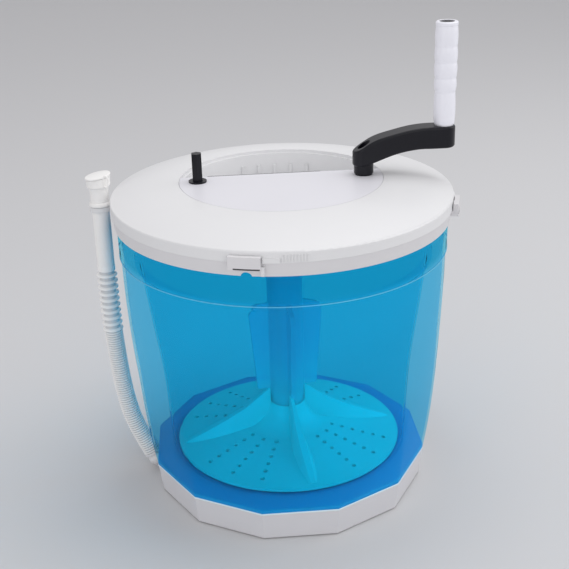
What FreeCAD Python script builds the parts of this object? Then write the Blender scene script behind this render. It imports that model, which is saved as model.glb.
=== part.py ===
"""Hand-crank tub washer: a clear tub on a twelve-sided base, a turning wash basket with a
finned column, a twist-on lid with a gear train in it, a lift-off crank and a drain hose.

Millimetres, +Z up. The origin is on the floor under the basket's axis. The front is -Y and
the crank points to +X. Angles round the tub are counted from the front towards +X.
"""
import FreeCAD, Part
import math
import os

os.makedirs("parts", exist_ok=True)

# Clearances
FIT = 0.3          # between pieces of different bodies that pass each other
SNUG = 0.1         # between fixed pieces that plug into each other
RUN = 0.05         # radial clearance of a shaft in its bush

# The sizes that drive the rest
TUB_TOP_R = 170.2
TUB_TOP_Z = 311.5
BASE_TOP_Z = 32.2
BASE_TAPER = 25.0

# Base
FACETS = 12
FOOT_PROUD = 1.5
FOOT_R = 12.0
FOOT_SUNK = 3.0
FOOT_BOSS_WALL = 2.6
FOOT_INSET = 25.6
BASE_DRAFT = 3.6
BASE_TOP_APOTHEM = TUB_TOP_R - BASE_TAPER
BASE_LOW_APOTHEM = BASE_TOP_APOTHEM - BASE_DRAFT
FOOT_PITCH_R = BASE_LOW_APOTHEM - FOOT_INSET
BASE_WALL = 3.0
DECK_DROP = 10.2
DECK_Z = BASE_TOP_Z - DECK_DROP
DECK_T = 3.0
RIB_T = 2.2
RIB_H = 12.0
RIB_LOW_Z = DECK_Z - DECK_T - RIB_H
SCREW_INSET = 53.6
SCREW_PITCH_R = BASE_LOW_APOTHEM - SCREW_INSET
DECK_MARGIN = 30.0
DECK_HOLE_R = SCREW_PITCH_R - DECK_MARGIN
SCREW_R = 2.0
SCREW_HEAD_R = 3.9
SCREW_HEAD_H = 2.6
SCREW_LENGTH = 13.0
SCREW_BOSS_R = 6.5
SCREW_BOSS_H = 5.5

# Tub: share of the height up to the ledge, share of the base's taper, and how round the section is
LEDGE_DROP = 41.0
LEDGE_Z = TUB_TOP_Z - LEDGE_DROP
TUB_SHAPE = [
    (0.0, 1.0, 0.02), (0.2, 0.688, 0.20), (0.4, 0.424, 0.60), (0.6, 0.224, 0.95), (0.8, 0.116, 1.0),
    (1.0, 0.072, 1.0),
]
TUB_FORM = [
    (BASE_TOP_Z + up * (LEDGE_Z - BASE_TOP_Z), TUB_TOP_R - BASE_TAPER * inset, roundness)
    for up, inset, roundness in TUB_SHAPE
]
TUB_WALL = 2.6
TUB_FLOOR_T = 3.0
TUB_SHOULDER_T = 2.8
TUB_BAND_STEP = 1.4
TUB_POST_R = 16.0
TUB_POST_H = 9.0
TUB_LOW_Z = DECK_Z
TUB_FLOOR_Z = TUB_LOW_Z + TUB_FLOOR_T
POST_TOP_Z = TUB_FLOOR_Z + TUB_POST_H
TRAY_T = 2.0
TRAY_EDGE = 1.0
TRAY_H = 11.5
TRAY_TOP_Z = TUB_FLOOR_Z + TRAY_H

# Bottom pivot
PIVOT_R = 5.0
PIVOT_TIP = 2.5
WASHER_R = 13.0
WASHER_T = 2.0
BUSH_R = 10.0
BUSH_H = 25.5
BUSH_LOW_Z = POST_TOP_Z + WASHER_T
BUSH_TOP_Z = BUSH_LOW_Z + BUSH_H
PIVOT_TOP_Z = BUSH_TOP_Z - PIVOT_TIP

# Basket: share of the wall's height, and inset from the tub's rim
BASKET_WALL = 2.2
BASKET_LIFT = 3.5
BASKET_DROP = 6.0
BASKET_LOW_Z = BUSH_LOW_Z + BASKET_LIFT
BASKET_TOP_Z = LEDGE_Z - BASKET_DROP
BASKET_CURL = 7.0
BASKET_LIP_T = 4.0
BASKET_LIP_OUT = 5.0
BASKET_LIP_ROOT = 3.5
BASKET_SHAPE = [(0.0, 41.7), (0.159, 39.6), (0.444, 35.6), (0.658, 29.7), (0.853, 24.2), (1.0, 20.2)]
BASKET_WALL_LOW_Z = BASKET_LOW_Z + BASKET_CURL
BASKET_WALL_TOP_Z = BASKET_TOP_Z - BASKET_LIP_T - BASKET_LIP_ROOT
BASKET_FORM = [
    (TUB_TOP_R - inset, BASKET_WALL_LOW_Z + up * (BASKET_WALL_TOP_Z - BASKET_WALL_LOW_Z))
    for up, inset in BASKET_SHAPE
]
BASKET_FOOT_IN = 4.0
BASKET_FOOT_R = BASKET_FORM[0][0] - BASKET_FOOT_IN
BASKET_FLANGE_W = 13.5
BASKET_FLANGE_R = BASKET_FOOT_R - BASKET_FLANGE_W
BASKET_FLANGE_T = 2.5
BASKET_LIP_R = BASKET_FORM[-1][0] + BASKET_LIP_OUT
FLOOR_GAP = 2.1
FLOOR_R = BASKET_FOOT_R - FLOOR_GAP
FLOOR_T = 3.0
FLOOR_RISE = 12.5
FLOOR_CONE_R = 48.0
SEAT_Z = BASKET_LOW_Z + BASKET_FLANGE_T
CONE_LOW_Z = SEAT_Z + FLOOR_T
CONE_TOP_Z = CONE_LOW_Z + FLOOR_RISE
NECK_H = 26.5
NECK_SWELL = 8.0
NECK_SWELL_H = 9.5
FLOOR_NECK_Z = CONE_TOP_Z + NECK_H
HUB_WALL = 4.0
SPIGOT_H = 12.0
SPIGOT_WALL = 2.6
HOLE_R = 2.4
HOLE_FROM_CONE = 2.0
HOLE_FROM_EDGE = 14.4
HOLE_FIRST_R = FLOOR_CONE_R + HOLE_FROM_CONE
HOLE_LAST_R = FLOOR_R - HOLE_FROM_EDGE
HOLES_IN_ROW = 6
ROW_STEP = 18.0
ROWS_IN_SECTOR = 3

# Column and its four vanes
VANES = 4
VANE_TURN = 8.0
COLUMN_R = 19.0
COLUMN_WALL = 2.5
COLUMN_DROP = 2.5
COLUMN_TOP_Z = BASKET_TOP_Z - COLUMN_DROP
FIN_T = 5.0
FIN_LIFT = 17.0
FIN_DROP = 64.0
FIN_LOW_Z = FLOOR_NECK_Z + FIN_LIFT
FIN_TOP_Z = COLUMN_TOP_Z - FIN_DROP
FIN_LOW_R = 33.0
FIN_TOP_R = 40.0
FIN_CORNER = 8.0
# Ridges on the floor: share of the way out, half width, height over the floor
RIDGE_STEP = 11.0
RIDGE_INSET = 6.4
RIDGE_END_R = FLOOR_R - RIDGE_INSET
RIDGE_SHAPE = [(0.0, 8.0, 22.0), (0.265, 10.0, 15.5), (0.647, 10.0, 7.5), (1.0, 7.0, 0.8)]

# Collar on the tub's rim
COLLAR_GRIP = 9.9
COLLAR_T = 4.0
COLLAR_LOW_Z = TUB_TOP_Z - COLLAR_GRIP
COLLAR_TOP_Z = TUB_TOP_Z + COLLAR_T
COLLAR_WALL = 1.8
COLLAR_FLARE = 2.5
COLLAR_LOW_R = TUB_TOP_R + COLLAR_WALL
COLLAR_TOP_R = COLLAR_LOW_R + COLLAR_FLARE
COLLAR_LEDGE = 9.2
COLLAR_BORE_R = TUB_TOP_R - COLLAR_LEDGE
COLLAR_INNER_WALL = 2.4
COLLAR_SKIRT = 8.0
COLLAR_SKIRT_Z = TUB_TOP_Z - COLLAR_SKIRT
LOCK_TURNS = (0.0, 90.0, 180.0)
HOOD_CENTRE = -15.2
HOOD_SPAN = 9.6
HOOD_DROP = 5.5
HOOD_H = 12.6
HOOD_LOW_Z = COLLAR_TOP_Z - HOOD_DROP
HOOD_TOP_Z = HOOD_LOW_Z + HOOD_H
HOOD_OUT = 6.0
HOOD_WALL = 1.8
NOTCH_R = 5.5
NOTCH_H = 4.0

# Lid
LID_PROUD = 0.5
LID_R = COLLAR_TOP_R + LID_PROUD
HOOD_R = LID_R + HOOD_OUT
LID_WALL = 2.6
LID_EDGE_H = 9.7
LID_EDGE_Z = COLLAR_TOP_Z + LID_EDGE_H
LID_EDGE_ROUND = 2.0
LID_DOME_H = 14.3
LID_TOP_Z = LID_EDGE_Z + LID_DOME_H
LID_FLAT_SHARE = 0.596
LID_FLAT_R = LID_R * LID_FLAT_SHARE
PAN_DROP = 4.5
PAN_Z = COLLAR_TOP_Z - PAN_DROP
PAN_LOW_Z = PAN_Z - LID_WALL
PAN_WALL = 3.0
COVER_T = 3.0
RECESS_Y = 16.0
SEAL_INSET = 0.5
SEAL_W = 7.5
SEAL_IN_R = COLLAR_BORE_R + SEAL_INSET
SEAL_OUT_R = SEAL_IN_R + SEAL_W
SEAL_T = 1.5
GUIDE_DROP = 8.5
GUIDE_LOW_Z = TUB_TOP_Z - GUIDE_DROP
LUG_CENTRE = -7.5
LUG_SPAN = 5.2
LUG_OUT = 2.0
LUG_H = 4.4
LUG_LOW_Z = COLLAR_TOP_Z + LID_PROUD
LUG_TOP_Z = LUG_LOW_Z + LUG_H
LUG_ROOM = 0.8
THUMB_CENTRE = -0.4
THUMB_STEP = 0.95
THUMB_RIBS = 9
THUMB_OUT = 0.7
THUMB_LIFT = 1.1
THUMB_H = 6.8
THUMB_LOW_Z = COLLAR_TOP_Z + THUMB_LIFT
THUMB_TOP_Z = THUMB_LOW_Z + THUMB_H
GRIP_RIB_STEP = 17.5
GRIP_RIB_W = 3.2
GRIP_RIB_OUT = 2.2
GRIP_RIB_H = 13.5

# Gear train: teeth, and three shafts on the X axis under the lid's flat middle
CRANK_TEETH = 45
PINION_TEETH = 23
WASH_TEETH = 34
SHAFT_MARGIN = 19.3
SHAFT_X = LID_FLAT_R - SHAFT_MARGIN
MODULE = 2 * SHAFT_X / (CRANK_TEETH + PINION_TEETH)
BACKLASH = 0.36
PRESSURE_ANGLE = 20.0
GEAR_T = 7.0
GEAR_GAP = 3.0
GEAR_ROOF = 5.4
HIGH_GEAR_Z = PAN_LOW_Z - GEAR_ROOF - GEAR_T
LOW_GEAR_Z = HIGH_GEAR_Z - GEAR_GAP - GEAR_T
SPINDLE_R = 5.7
SPINDLE_FLATS = 12.0
POST_FLATS = 9.8
WASH_POST_H = 30.0
CRANK_POST_H = 24.5
WASH_POST_Z = LID_TOP_Z + WASH_POST_H
CRANK_POST_Z = LID_TOP_Z + CRANK_POST_H
OUTPUT_R = 7.0
OUTPUT_FLATS = 14.0
OUTPUT_HUB = 10.0
OUTPUT_TOP_R = 5.0
OUTPUT_TOP_H = 4.0
OUTPUT_BUSH_WALL = 2.0
OUTPUT_BUSH_LIP = 3.0
TOWER_WALL = 2.2
LID_BUSH_R = 7.6
LID_BUSH_FLANGE_R = 9.2
LID_BUSH_FLANGE_T = 1.6

# Gear case under the lid
CASE_FLOOR_ROOM = 6.0
CASE_LOW_Z = LOW_GEAR_Z - CASE_FLOOR_ROOM
CASE_WALL = 2.4
CASE_ROOM = 1.2
EAR_R = 5.5
EAR_T = 5.0
CASE_SCREW_R = 1.5
CASE_SCREW_HEAD_R = 2.9
CASE_SCREW_HEAD_H = 2.0
CASE_SCREW_OUT = 11.0
CASE_SCREW_X = SHAFT_X + CASE_SCREW_OUT
CASE_PILOT = 4.0

# Drive dog and its socket on the column
DOG_LENGTH = 24.0
DOG_T = 6.0
DOG_SUNK = 11.0
DOG_LOW_Z = COLUMN_TOP_Z - DOG_SUNK
DOG_CORE_R = 7.6
DOG_SQUARE = 9.0
DOG_ROOM = 0.8
DOG_FLOOR_ROOM = 2.0
SOCKET_H = 19.0
SOCKET_LOW_Z = COLUMN_TOP_Z - SOCKET_H
SOCKET_FLANGE_R = 21.5
SOCKET_FLANGE_T = 4.0
SOCKET_SWING = 40.0

# Crank: shares of its reach and of its rise, from the hub out to the grip
LID_BUSH_TOP_Z = LID_TOP_Z + LID_BUSH_FLANGE_T
HUB_LOW_Z = LID_BUSH_TOP_Z + FIT
ARM_W = 23.0
ARM_HUB_R = 10.0
ARM_HUB_SUNK = 6.0
ARM_REACH = 82.0
ARM_RISE = 46.0
ARM_START = -ARM_W / 2 - SNUG
ARM_TOP_SHAPE = [(-0.073, 0.550), (0.085, 0.723), (0.338, 0.872), (0.585, 0.967), (0.817, 1.0)]
ARM_LOW_SHAPE = [(0.110, 0.252), (0.317, 0.387), (0.549, 0.487), (0.817, 0.513)]
ARM_FIRST_TOP = 0.493
ARM_FIRST_LOW = 0.157
ARM_ROUND = 2.4
WELL_ROOM = 0.6
WELL_SUNK = 3.0
GRIP_X = SHAFT_X + ARM_REACH
ARM_END_TOP_Z = HUB_LOW_Z + ARM_RISE
ARM_END_LOW_Z = HUB_LOW_Z + ARM_RISE * ARM_LOW_SHAPE[-1][1]
GRIP_LENGTH = 103.6
GRIP_TOP_Z = ARM_END_TOP_Z + GRIP_LENGTH
GRIP_PROUD = 0.1
GRIP_R = ARM_W / 2 + GRIP_PROUD
# Share of the length and of the radius of each ring, from the foot up
GRIP_RINGS = [(0.33, 0.945), (0.14, 0.975), (0.16, 1.0), (0.16, 1.0), (0.21, 0.99)]
GRIP_WAIST = 0.7
GRIP_FOOT_IN = 2.2
GRIP_FOOT_H = 2.0
GRIP_END_H = 4.0
GRIP_END_IN = 0.45
GRIP_END_ROUND = 1.0
GRIP_PIN_R = 5.0
GRIP_PIN_HEAD_R = 7.0
GRIP_PIN_HEAD_H = 4.0
GRIP_WELL = 7.0
GRIP_WELL_ROOM = 0.7

# Drain: outlet through the base, hose up the side, nozzle held on the collar
DRAIN_TURN = -94.0
DRAIN_INSET = 20.6
DRAIN_R = BASE_LOW_APOTHEM - DRAIN_INSET
DRAIN_BORE_R = 5.5
DRAIN_PIPE_R = 8.0
DRAIN_SUMP_R = 9.0
DRAIN_FLANGE_R = 13.0
DRAIN_FLANGE_T = 2.0
DRAIN_DROP = 8.8
DRAIN_Z = DECK_Z - DRAIN_DROP
ELBOW_OUT = 9.4
ELBOW_R = BASE_LOW_APOTHEM + ELBOW_OUT
NOZZLE_TURN = -97.0
NOZZLE_OUT = 14.5
NOZZLE_R = COLLAR_TOP_R + NOZZLE_OUT
NOZZLE_TUBE_R = 9.15
NOZZLE_BORE_R = 7.2
NOZZLE_DROP = 65.5
NOZZLE_RISE = 4.5
NOZZLE_LOW_Z = TUB_TOP_Z - NOZZLE_DROP
NOZZLE_TOP_Z = LID_TOP_Z + NOZZLE_RISE
NOZZLE_MOUTH_R = 13.6
NOZZLE_MOUTH_H = 2.0
NOZZLE_FLARE_H = 10.0
BEAD_R = 10.6
BEAD_H = 5.0
BEAD_LIFT = 0.5
BEAD_LOW_Z = TUB_TOP_Z + BEAD_LIFT
BARB_R = 7.0
BARB_LENGTH = 16.0
BARB_STOP = 9.0
BARB_STOP_R = 10.0
BARB_STOP_T = 2.5
KNUCKLE = 0.6
# Hose route: share of the way out from the elbow to the nozzle, and share of the nozzle's height
HOSE_SHAPE = [(0.5522, 0.2175), (0.7852, 0.3659), (0.9068, 0.5447), (1.0, 0.7724), (1.0, 1.0)]
HOSE_BORE_R = 7.2
HOSE_ROOT_R = 8.6
FINE_CREST_R = 10.0
FINE_RIBS = 60
WIDE_CREST_R = 10.6
WIDE_RIBS = 10
WIDE_LENGTH = 66.0
CLIP_H = 5.0
CLIP_WALL = 1.8
CLIP_GAP = 11.0
CLIP_SPAN = 11.0
CLIP_ARM_W = 8.0
PLUG_T = 3.5
PLUG_STEM_H = 11.0
PLUG_WALL = 1.6
RING_R = 6.0
RING_WIRE_R = 1.5
RING_SUNK = 0.4

V = FreeCAD.Vector
UP = V(0, 0, 1)


def polar(radius, angle, z=0.0):
    """A point round the tub: the angle runs from the front towards +X."""
    turn = math.radians(angle)
    return V(radius * math.sin(turn), -radius * math.cos(turn), z)


def cylinder(radius, low, high, at=V(0, 0, 0)):
    return Part.makeCylinder(radius, high - low, V(at.x, at.y, low))


def tube(outer, inner, low, high, at=V(0, 0, 0)):
    return cylinder(outer, low, high, at).cut(cylinder(inner, low, high, at))


def block(x0, x1, y0, y1, z0, z1):
    return Part.makeBox(x1 - x0, y1 - y0, z1 - z0, V(x0, y0, z0))


def prism(points, low, high):
    """A closed outline in X and Y, raised from one height to another."""
    corners = [V(x, y, low) for x, y in points]
    return Part.Face(Part.makePolygon(corners + corners[:1])).extrude(V(0, 0, high - low))


def hexagon(flats, low, high, at=V(0, 0, 0)):
    corner = flats / 2 / math.cos(math.pi / 6)
    points = []
    for k in range(6):
        turn = math.radians(60 * k + 30)
        points.append((at.x + corner * math.cos(turn), at.y + corner * math.sin(turn)))
    return prism(points, low, high)


def regular(apothem, z):
    """A twelve-sided wire with a flat side at the front."""
    corner = apothem / math.cos(math.pi / FACETS)
    corners = [polar(corner, (k + 0.5) * 360.0 / FACETS, z) for k in range(FACETS)]
    return Part.makePolygon(corners + corners[:1])


def frustum(low_apothem, low, high_apothem, high):
    return Part.makeLoft([regular(low_apothem, low), regular(high_apothem, high)], True, True)


def edges_rz(steps):
    """Edges in the half plane X, Z. A step is a point, an arc's middle and end, or a spline."""
    edges = []
    here = V(steps[0][0], 0, steps[0][1])
    for step in steps[1:]:
        if step[0] == "arc":
            middle = V(step[1][0], 0, step[1][1])
            end = V(step[2][0], 0, step[2][1])
            edges.append(Part.Arc(here, middle, end).toShape())
        elif step[0] == "spline":
            points = [here] + [V(r, 0, z) for r, z in step[1]]
            curve = Part.BSplineCurve()
            curve.interpolate(points)
            edges.append(curve.toShape())
            end = points[-1]
        else:
            end = V(step[0], 0, step[1])
            edges.append(Part.LineSegment(here, end).toShape())
        here = end
    start = V(steps[0][0], 0, steps[0][1])
    if here.distanceToPoint(start) > 1e-6:
        edges.append(Part.LineSegment(here, start).toShape())
    return edges


def turned(steps, angle=360.0):
    """A profile of radius and height, turned about the Z axis."""
    return Part.Face(Part.Wire(edges_rz(steps))).revolve(V(0, 0, 0), UP, angle)


def around(shape, angle):
    """The same shape carried round the tub's axis."""
    copy = shape.copy()
    copy.rotate(V(0, 0, 0), UP, angle)
    return copy


def sector(inner, outer, low, high, start, end):
    """A piece of a ring between two angles counted from the front."""
    ring = turned([(inner, low), (outer, low), (outer, high), (inner, high)], end - start)
    return around(ring, start - 90.0)


def moved(shape, offset):
    copy = shape.copy()
    copy.translate(offset)
    return copy


def fused(first, *rest):
    return first.fuse(list(rest)).removeSplitter()


def export(shape, node):
    solids = shape.Solids
    for solid in solids:
        if not solid.isValid() or solid.Volume <= 0:
            raise ValueError(node + " has a solid that isn't sound")
    whole = solids[0] if len(solids) == 1 else Part.makeCompound(solids)
    whole.exportStep("parts/" + node + ".step")
    print(node, len(solids), "solid(s), cm3", round(sum(s.Volume for s in solids) / 1000, 2))


def base_apothem(z):
    share = (z - FOOT_PROUD) / (BASE_TOP_Z - FOOT_PROUD)
    return BASE_LOW_APOTHEM + (BASE_TOP_APOTHEM - BASE_LOW_APOTHEM) * share


def base_frustum(inset, low, high):
    return frustum(base_apothem(low) - inset, low, base_apothem(high) - inset, high)


def quarter_points(radius, first):
    return [polar(radius, first + 90.0 * k) for k in range(4)]


FOOT_AT = quarter_points(FOOT_PITCH_R, 45.0)
SCREW_AT = quarter_points(SCREW_PITCH_R, 0.0)
DECK_LOW_Z = DECK_Z - DECK_T
SCREW_SEAT_Z = DECK_LOW_Z - SCREW_BOSS_H
DRAIN_AT = polar(DRAIN_R, DRAIN_TURN)


def make_base():
    shell = base_frustum(0, FOOT_PROUD, BASE_TOP_Z)
    outside = base_frustum(BASE_WALL / 2, FOOT_PROUD, BASE_TOP_Z)
    below = base_frustum(BASE_WALL, FOOT_PROUD, DECK_LOW_Z)
    above = base_frustum(BASE_WALL, DECK_Z, BASE_TOP_Z)
    shell = shell.cut([below, above, cylinder(DECK_HOLE_R, DECK_LOW_Z, DECK_Z)])
    # Ribs and bosses run halfway into the deck, so they join it over their whole top.
    root_z = DECK_LOW_Z + DECK_T / 2
    rib = block(-RIB_T / 2, RIB_T / 2, DECK_HOLE_R, BASE_TOP_APOTHEM, RIB_LOW_Z, root_z)
    stiffeners = [tube(DECK_HOLE_R + RIB_T, DECK_HOLE_R, RIB_LOW_Z, root_z)]
    for k in range(FACETS):
        stiffeners.append(around(rib, (k + 0.5) * 360.0 / FACETS).common(outside))
    boss_r = FOOT_R + SNUG + FOOT_BOSS_WALL
    bosses = [cylinder(boss_r, FOOT_PROUD, root_z, at) for at in FOOT_AT]
    bosses += [cylinder(SCREW_BOSS_R, SCREW_SEAT_Z, root_z, at) for at in SCREW_AT]
    cuts = [cylinder(FOOT_R + SNUG, FOOT_PROUD, FOOT_PROUD + FOOT_SUNK, at) for at in FOOT_AT]
    cuts += [cylinder(SCREW_R + SNUG, SCREW_SEAT_Z, DECK_Z, at) for at in SCREW_AT]
    # The drain pipe leaves through a slot that is open at the bottom.
    slot_r = DRAIN_PIPE_R + KNUCKLE + FIT
    slot = cylinder(slot_r, 0, BASE_TOP_APOTHEM * 0.4)
    slot.rotate(V(0, 0, 0), V(1, 0, 0), 90)
    slot = moved(slot, V(0, -DRAIN_R, DRAIN_Z))
    way = block(-slot_r, slot_r, -DRAIN_R - BASE_TOP_APOTHEM * 0.4, -DRAIN_R, 0, DRAIN_Z)
    cuts += [around(slot, DRAIN_TURN), around(way, DRAIN_TURN)]
    cuts.append(cylinder(DRAIN_FLANGE_R + FIT, RIB_LOW_Z - FIT, DECK_Z, DRAIN_AT))
    return fused(shell, *stiffeners, *bosses).cut(cuts)


def make_feet():
    return Part.makeCompound([cylinder(FOOT_R, 0, FOOT_PROUD + FOOT_SUNK, at) for at in FOOT_AT])


def make_base_screws():
    screws = []
    for at in SCREW_AT:
        head = cylinder(SCREW_HEAD_R, SCREW_SEAT_Z - SCREW_HEAD_H, SCREW_SEAT_Z, at)
        shank = cylinder(SCREW_R, SCREW_SEAT_Z, SCREW_SEAT_Z + SCREW_LENGTH, at)
        drive = hexagon(SCREW_R * 1.4, SCREW_SEAT_Z - SCREW_HEAD_H, SCREW_SEAT_Z - SCREW_HEAD_H / 2, at)
        screws.append(head.fuse(shank).cut(drive))
    return Part.makeCompound(screws)


def tub_size(z):
    """Radius over the flats and roundness at a height, between the listed sections."""
    for (z0, r0, n0), (z1, r1, n1) in zip(TUB_FORM, TUB_FORM[1:]):
        if z <= z1:
            share = (z - z0) / (z1 - z0)
            return r0 + (r1 - r0) * share, n0 + (n1 - n0) * share
    return TUB_FORM[-1][1], TUB_FORM[-1][2]


def tub_section(z, inset):
    """Twelve edges, straight near the base and arcs of one circle near the rim."""
    flat, roundness = tub_size(z)
    flat -= inset
    corner = flat * (1 + (1 / math.cos(math.pi / FACETS) - 1) * (1 - roundness))
    edges = []
    for k in range(FACETS):
        start = polar(corner, (k - 0.5) * 360.0 / FACETS, z)
        end = polar(corner, (k + 0.5) * 360.0 / FACETS, z)
        middle = polar(flat, k * 360.0 / FACETS, z)
        edges.append(Part.Arc(start, middle, end).toShape())
    return Part.Wire(edges)


def tub_loft(inset, low):
    heights = [low] + [row[0] for row in TUB_FORM[1:]]
    return Part.makeLoft([tub_section(z, inset) for z in heights], True, False)


LEDGE_R = TUB_FORM[-1][1]


def make_tub():
    outer = tub_loft(0, BASE_TOP_Z)
    spigot = base_frustum(BASE_WALL + FIT, TUB_LOW_Z, BASE_TOP_Z)
    band = turned([(0, LEDGE_Z), (LEDGE_R + TUB_BAND_STEP, LEDGE_Z), (TUB_TOP_R, TUB_TOP_Z), (0, TUB_TOP_Z)])
    shoulder_z = BASE_TOP_Z + TUB_SHOULDER_T
    room = tub_loft(TUB_WALL, shoulder_z)
    well = base_frustum(BASE_WALL + FIT + TUB_WALL, TUB_FLOOR_Z, shoulder_z)
    band_room = turned([
        (0, LEDGE_Z), (LEDGE_R - TUB_WALL, LEDGE_Z), (TUB_TOP_R - TUB_WALL, TUB_TOP_Z), (0, TUB_TOP_Z),
    ])
    shell = outer.fuse([spigot, band]).cut([room, well, band_room])
    bosses = [cylinder(TUB_POST_R, TUB_LOW_Z, POST_TOP_Z)]
    pilot_top = SCREW_SEAT_Z + SCREW_LENGTH + SNUG
    bosses += [cylinder(SCREW_BOSS_R, TUB_LOW_Z, pilot_top + TUB_FLOOR_T, at) for at in SCREW_AT]
    cuts = [cylinder(SCREW_R + SNUG / 2, TUB_LOW_Z, pilot_top, at) for at in SCREW_AT]
    cuts.append(cylinder(PIVOT_R, TUB_FLOOR_Z, POST_TOP_Z))
    cuts.append(cylinder(DRAIN_SUMP_R, TUB_LOW_Z, TUB_FLOOR_Z, DRAIN_AT))
    return shell.fuse(bosses).cut(cuts)


def make_sump_tray():
    """A shallow pan on the tub's floor, under the basket, open round the post, the bosses and the drain."""
    edge = BASE_WALL + FIT + TUB_WALL + TRAY_EDGE
    pan = base_frustum(edge, TUB_FLOOR_Z, TRAY_TOP_Z)
    room = base_frustum(edge + TRAY_T, TUB_FLOOR_Z + TRAY_T, TRAY_TOP_Z)
    cuts = [room, cylinder(TUB_POST_R + FIT, TUB_FLOOR_Z, TRAY_TOP_Z)]
    cuts += [cylinder(SCREW_BOSS_R + FIT, TUB_FLOOR_Z, TRAY_TOP_Z, at) for at in SCREW_AT]
    cuts.append(cylinder(DRAIN_SUMP_R + FIT, TUB_FLOOR_Z, TRAY_TOP_Z, DRAIN_AT))
    return pan.cut(cuts)


def make_pivot_pin():
    tip = PIVOT_R * 0.3
    pin = cylinder(PIVOT_R, TUB_FLOOR_Z, PIVOT_TOP_Z)
    rim = [e for e in pin.Edges if abs(e.CenterOfMass.z - PIVOT_TOP_Z) < 1e-6 and e.Curve.TypeId == "Part::GeomCircle"]
    return pin.makeFillet(tip, rim)


def make_thrust_washer():
    return tube(WASHER_R, PIVOT_R + FIT, POST_TOP_Z, BUSH_LOW_Z)


def make_pivot_bush():
    return tube(BUSH_R, PIVOT_R + RUN, BUSH_LOW_Z, BUSH_TOP_Z)


def make_basket_wall():
    foot_r, foot_z = BASKET_FORM[0]
    last_r, last_z = BASKET_FORM[-1]
    lip_z = BASKET_TOP_Z - BASKET_LIP_T
    bend_r = BASKET_FOOT_R + 0.75 * (foot_r - BASKET_FOOT_R)
    bend_z = BASKET_LOW_Z + 0.3 * (foot_z - BASKET_LOW_Z)
    inner = [(r - BASKET_WALL, z) for r, z in reversed(BASKET_FORM)]
    return turned([
        (BASKET_FLANGE_R, BASKET_LOW_Z), (BASKET_FOOT_R, BASKET_LOW_Z),
        ("arc", (bend_r, bend_z), (foot_r, foot_z)), ("spline", BASKET_FORM[1:]),
        (BASKET_LIP_R, lip_z), (BASKET_LIP_R, BASKET_TOP_Z), (last_r - BASKET_WALL, BASKET_TOP_Z),
        inner[0], ("spline", inner[1:]), (BASKET_FOOT_R - BASKET_WALL + 1.5, SEAT_Z), (BASKET_FLANGE_R, SEAT_Z),
    ])


def cone_z(radius):
    """Height of the basket floor's upper face."""
    return CONE_LOW_Z + FLOOR_RISE * (FLOOR_R - radius) / (FLOOR_R - FLOOR_CONE_R)


def ridge_section(radius, half_width, top, low):
    """A blunt triangle across the radial direction, at the front of the tub."""
    tip = half_width * 0.35
    corners = [(-half_width, low), (half_width, low), (tip, top), (-tip, top)]
    points = [V(x, -radius, z) for x, z in corners]
    return Part.makePolygon(points + points[:1])


def make_ridge():
    sink = FLOOR_T * 0.6
    near = COLUMN_R + FIT
    sections = [
        ridge_section(near, FIN_T * 0.9, FIN_LOW_Z - FIT, CONE_TOP_Z - sink),
        ridge_section(FIN_LOW_R, FIN_T * 1.1, FIN_LOW_Z - RIDGE_STEP, CONE_TOP_Z - sink),
    ]
    for share, half_width, height in RIDGE_SHAPE:
        radius = FLOOR_CONE_R + share * (RIDGE_END_R - FLOOR_CONE_R)
        sections.append(ridge_section(radius, half_width, cone_z(radius) + height, cone_z(radius) - sink))
    return Part.makeLoft(sections, True, True)


SPIGOT_R = COLUMN_R - COLUMN_WALL - SNUG


def make_basket_floor():
    bore = SPIGOT_R - SPIGOT_WALL
    hub_r = BUSH_R + SNUG / 2
    neck_mid = (COLUMN_R + NECK_SWELL, CONE_TOP_Z + NECK_SWELL_H)
    body = turned([
        (FLOOR_R - FLOOR_T, SEAT_Z), (FLOOR_R, SEAT_Z), (FLOOR_R, CONE_LOW_Z), (FLOOR_CONE_R, CONE_TOP_Z),
        ("arc", neck_mid, (COLUMN_R, FLOOR_NECK_Z)), (SPIGOT_R, FLOOR_NECK_Z),
        (SPIGOT_R, FLOOR_NECK_Z + SPIGOT_H), (bore, FLOOR_NECK_Z + SPIGOT_H), (bore, BUSH_TOP_Z),
        (hub_r, BUSH_TOP_Z), (hub_r, BUSH_LOW_Z + FLOOR_T), (hub_r + HUB_WALL, BUSH_LOW_Z + FLOOR_T),
        (hub_r + HUB_WALL, CONE_TOP_Z - FLOOR_T), (FLOOR_CONE_R - HUB_WALL, CONE_TOP_Z - FLOOR_T),
    ])
    ridge = make_ridge()
    body = body.fuse([around(ridge, VANE_TURN + 360.0 / VANES * k) for k in range(VANES)])
    holes = []
    step = (HOLE_LAST_R - HOLE_FIRST_R) / (HOLES_IN_ROW - 1)
    for k in range(VANES):
        middle = VANE_TURN + 360.0 / VANES * (k + 0.5)
        for row in range(ROWS_IN_SECTOR):
            angle = middle + ROW_STEP * (row - (ROWS_IN_SECTOR - 1) / 2)
            for n in range(HOLES_IN_ROW):
                at = polar(HOLE_FIRST_R + step * n, angle)
                holes.append(cylinder(HOLE_R, SEAT_Z, FLOOR_NECK_Z, at))
    return body.cut(holes)


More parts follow.
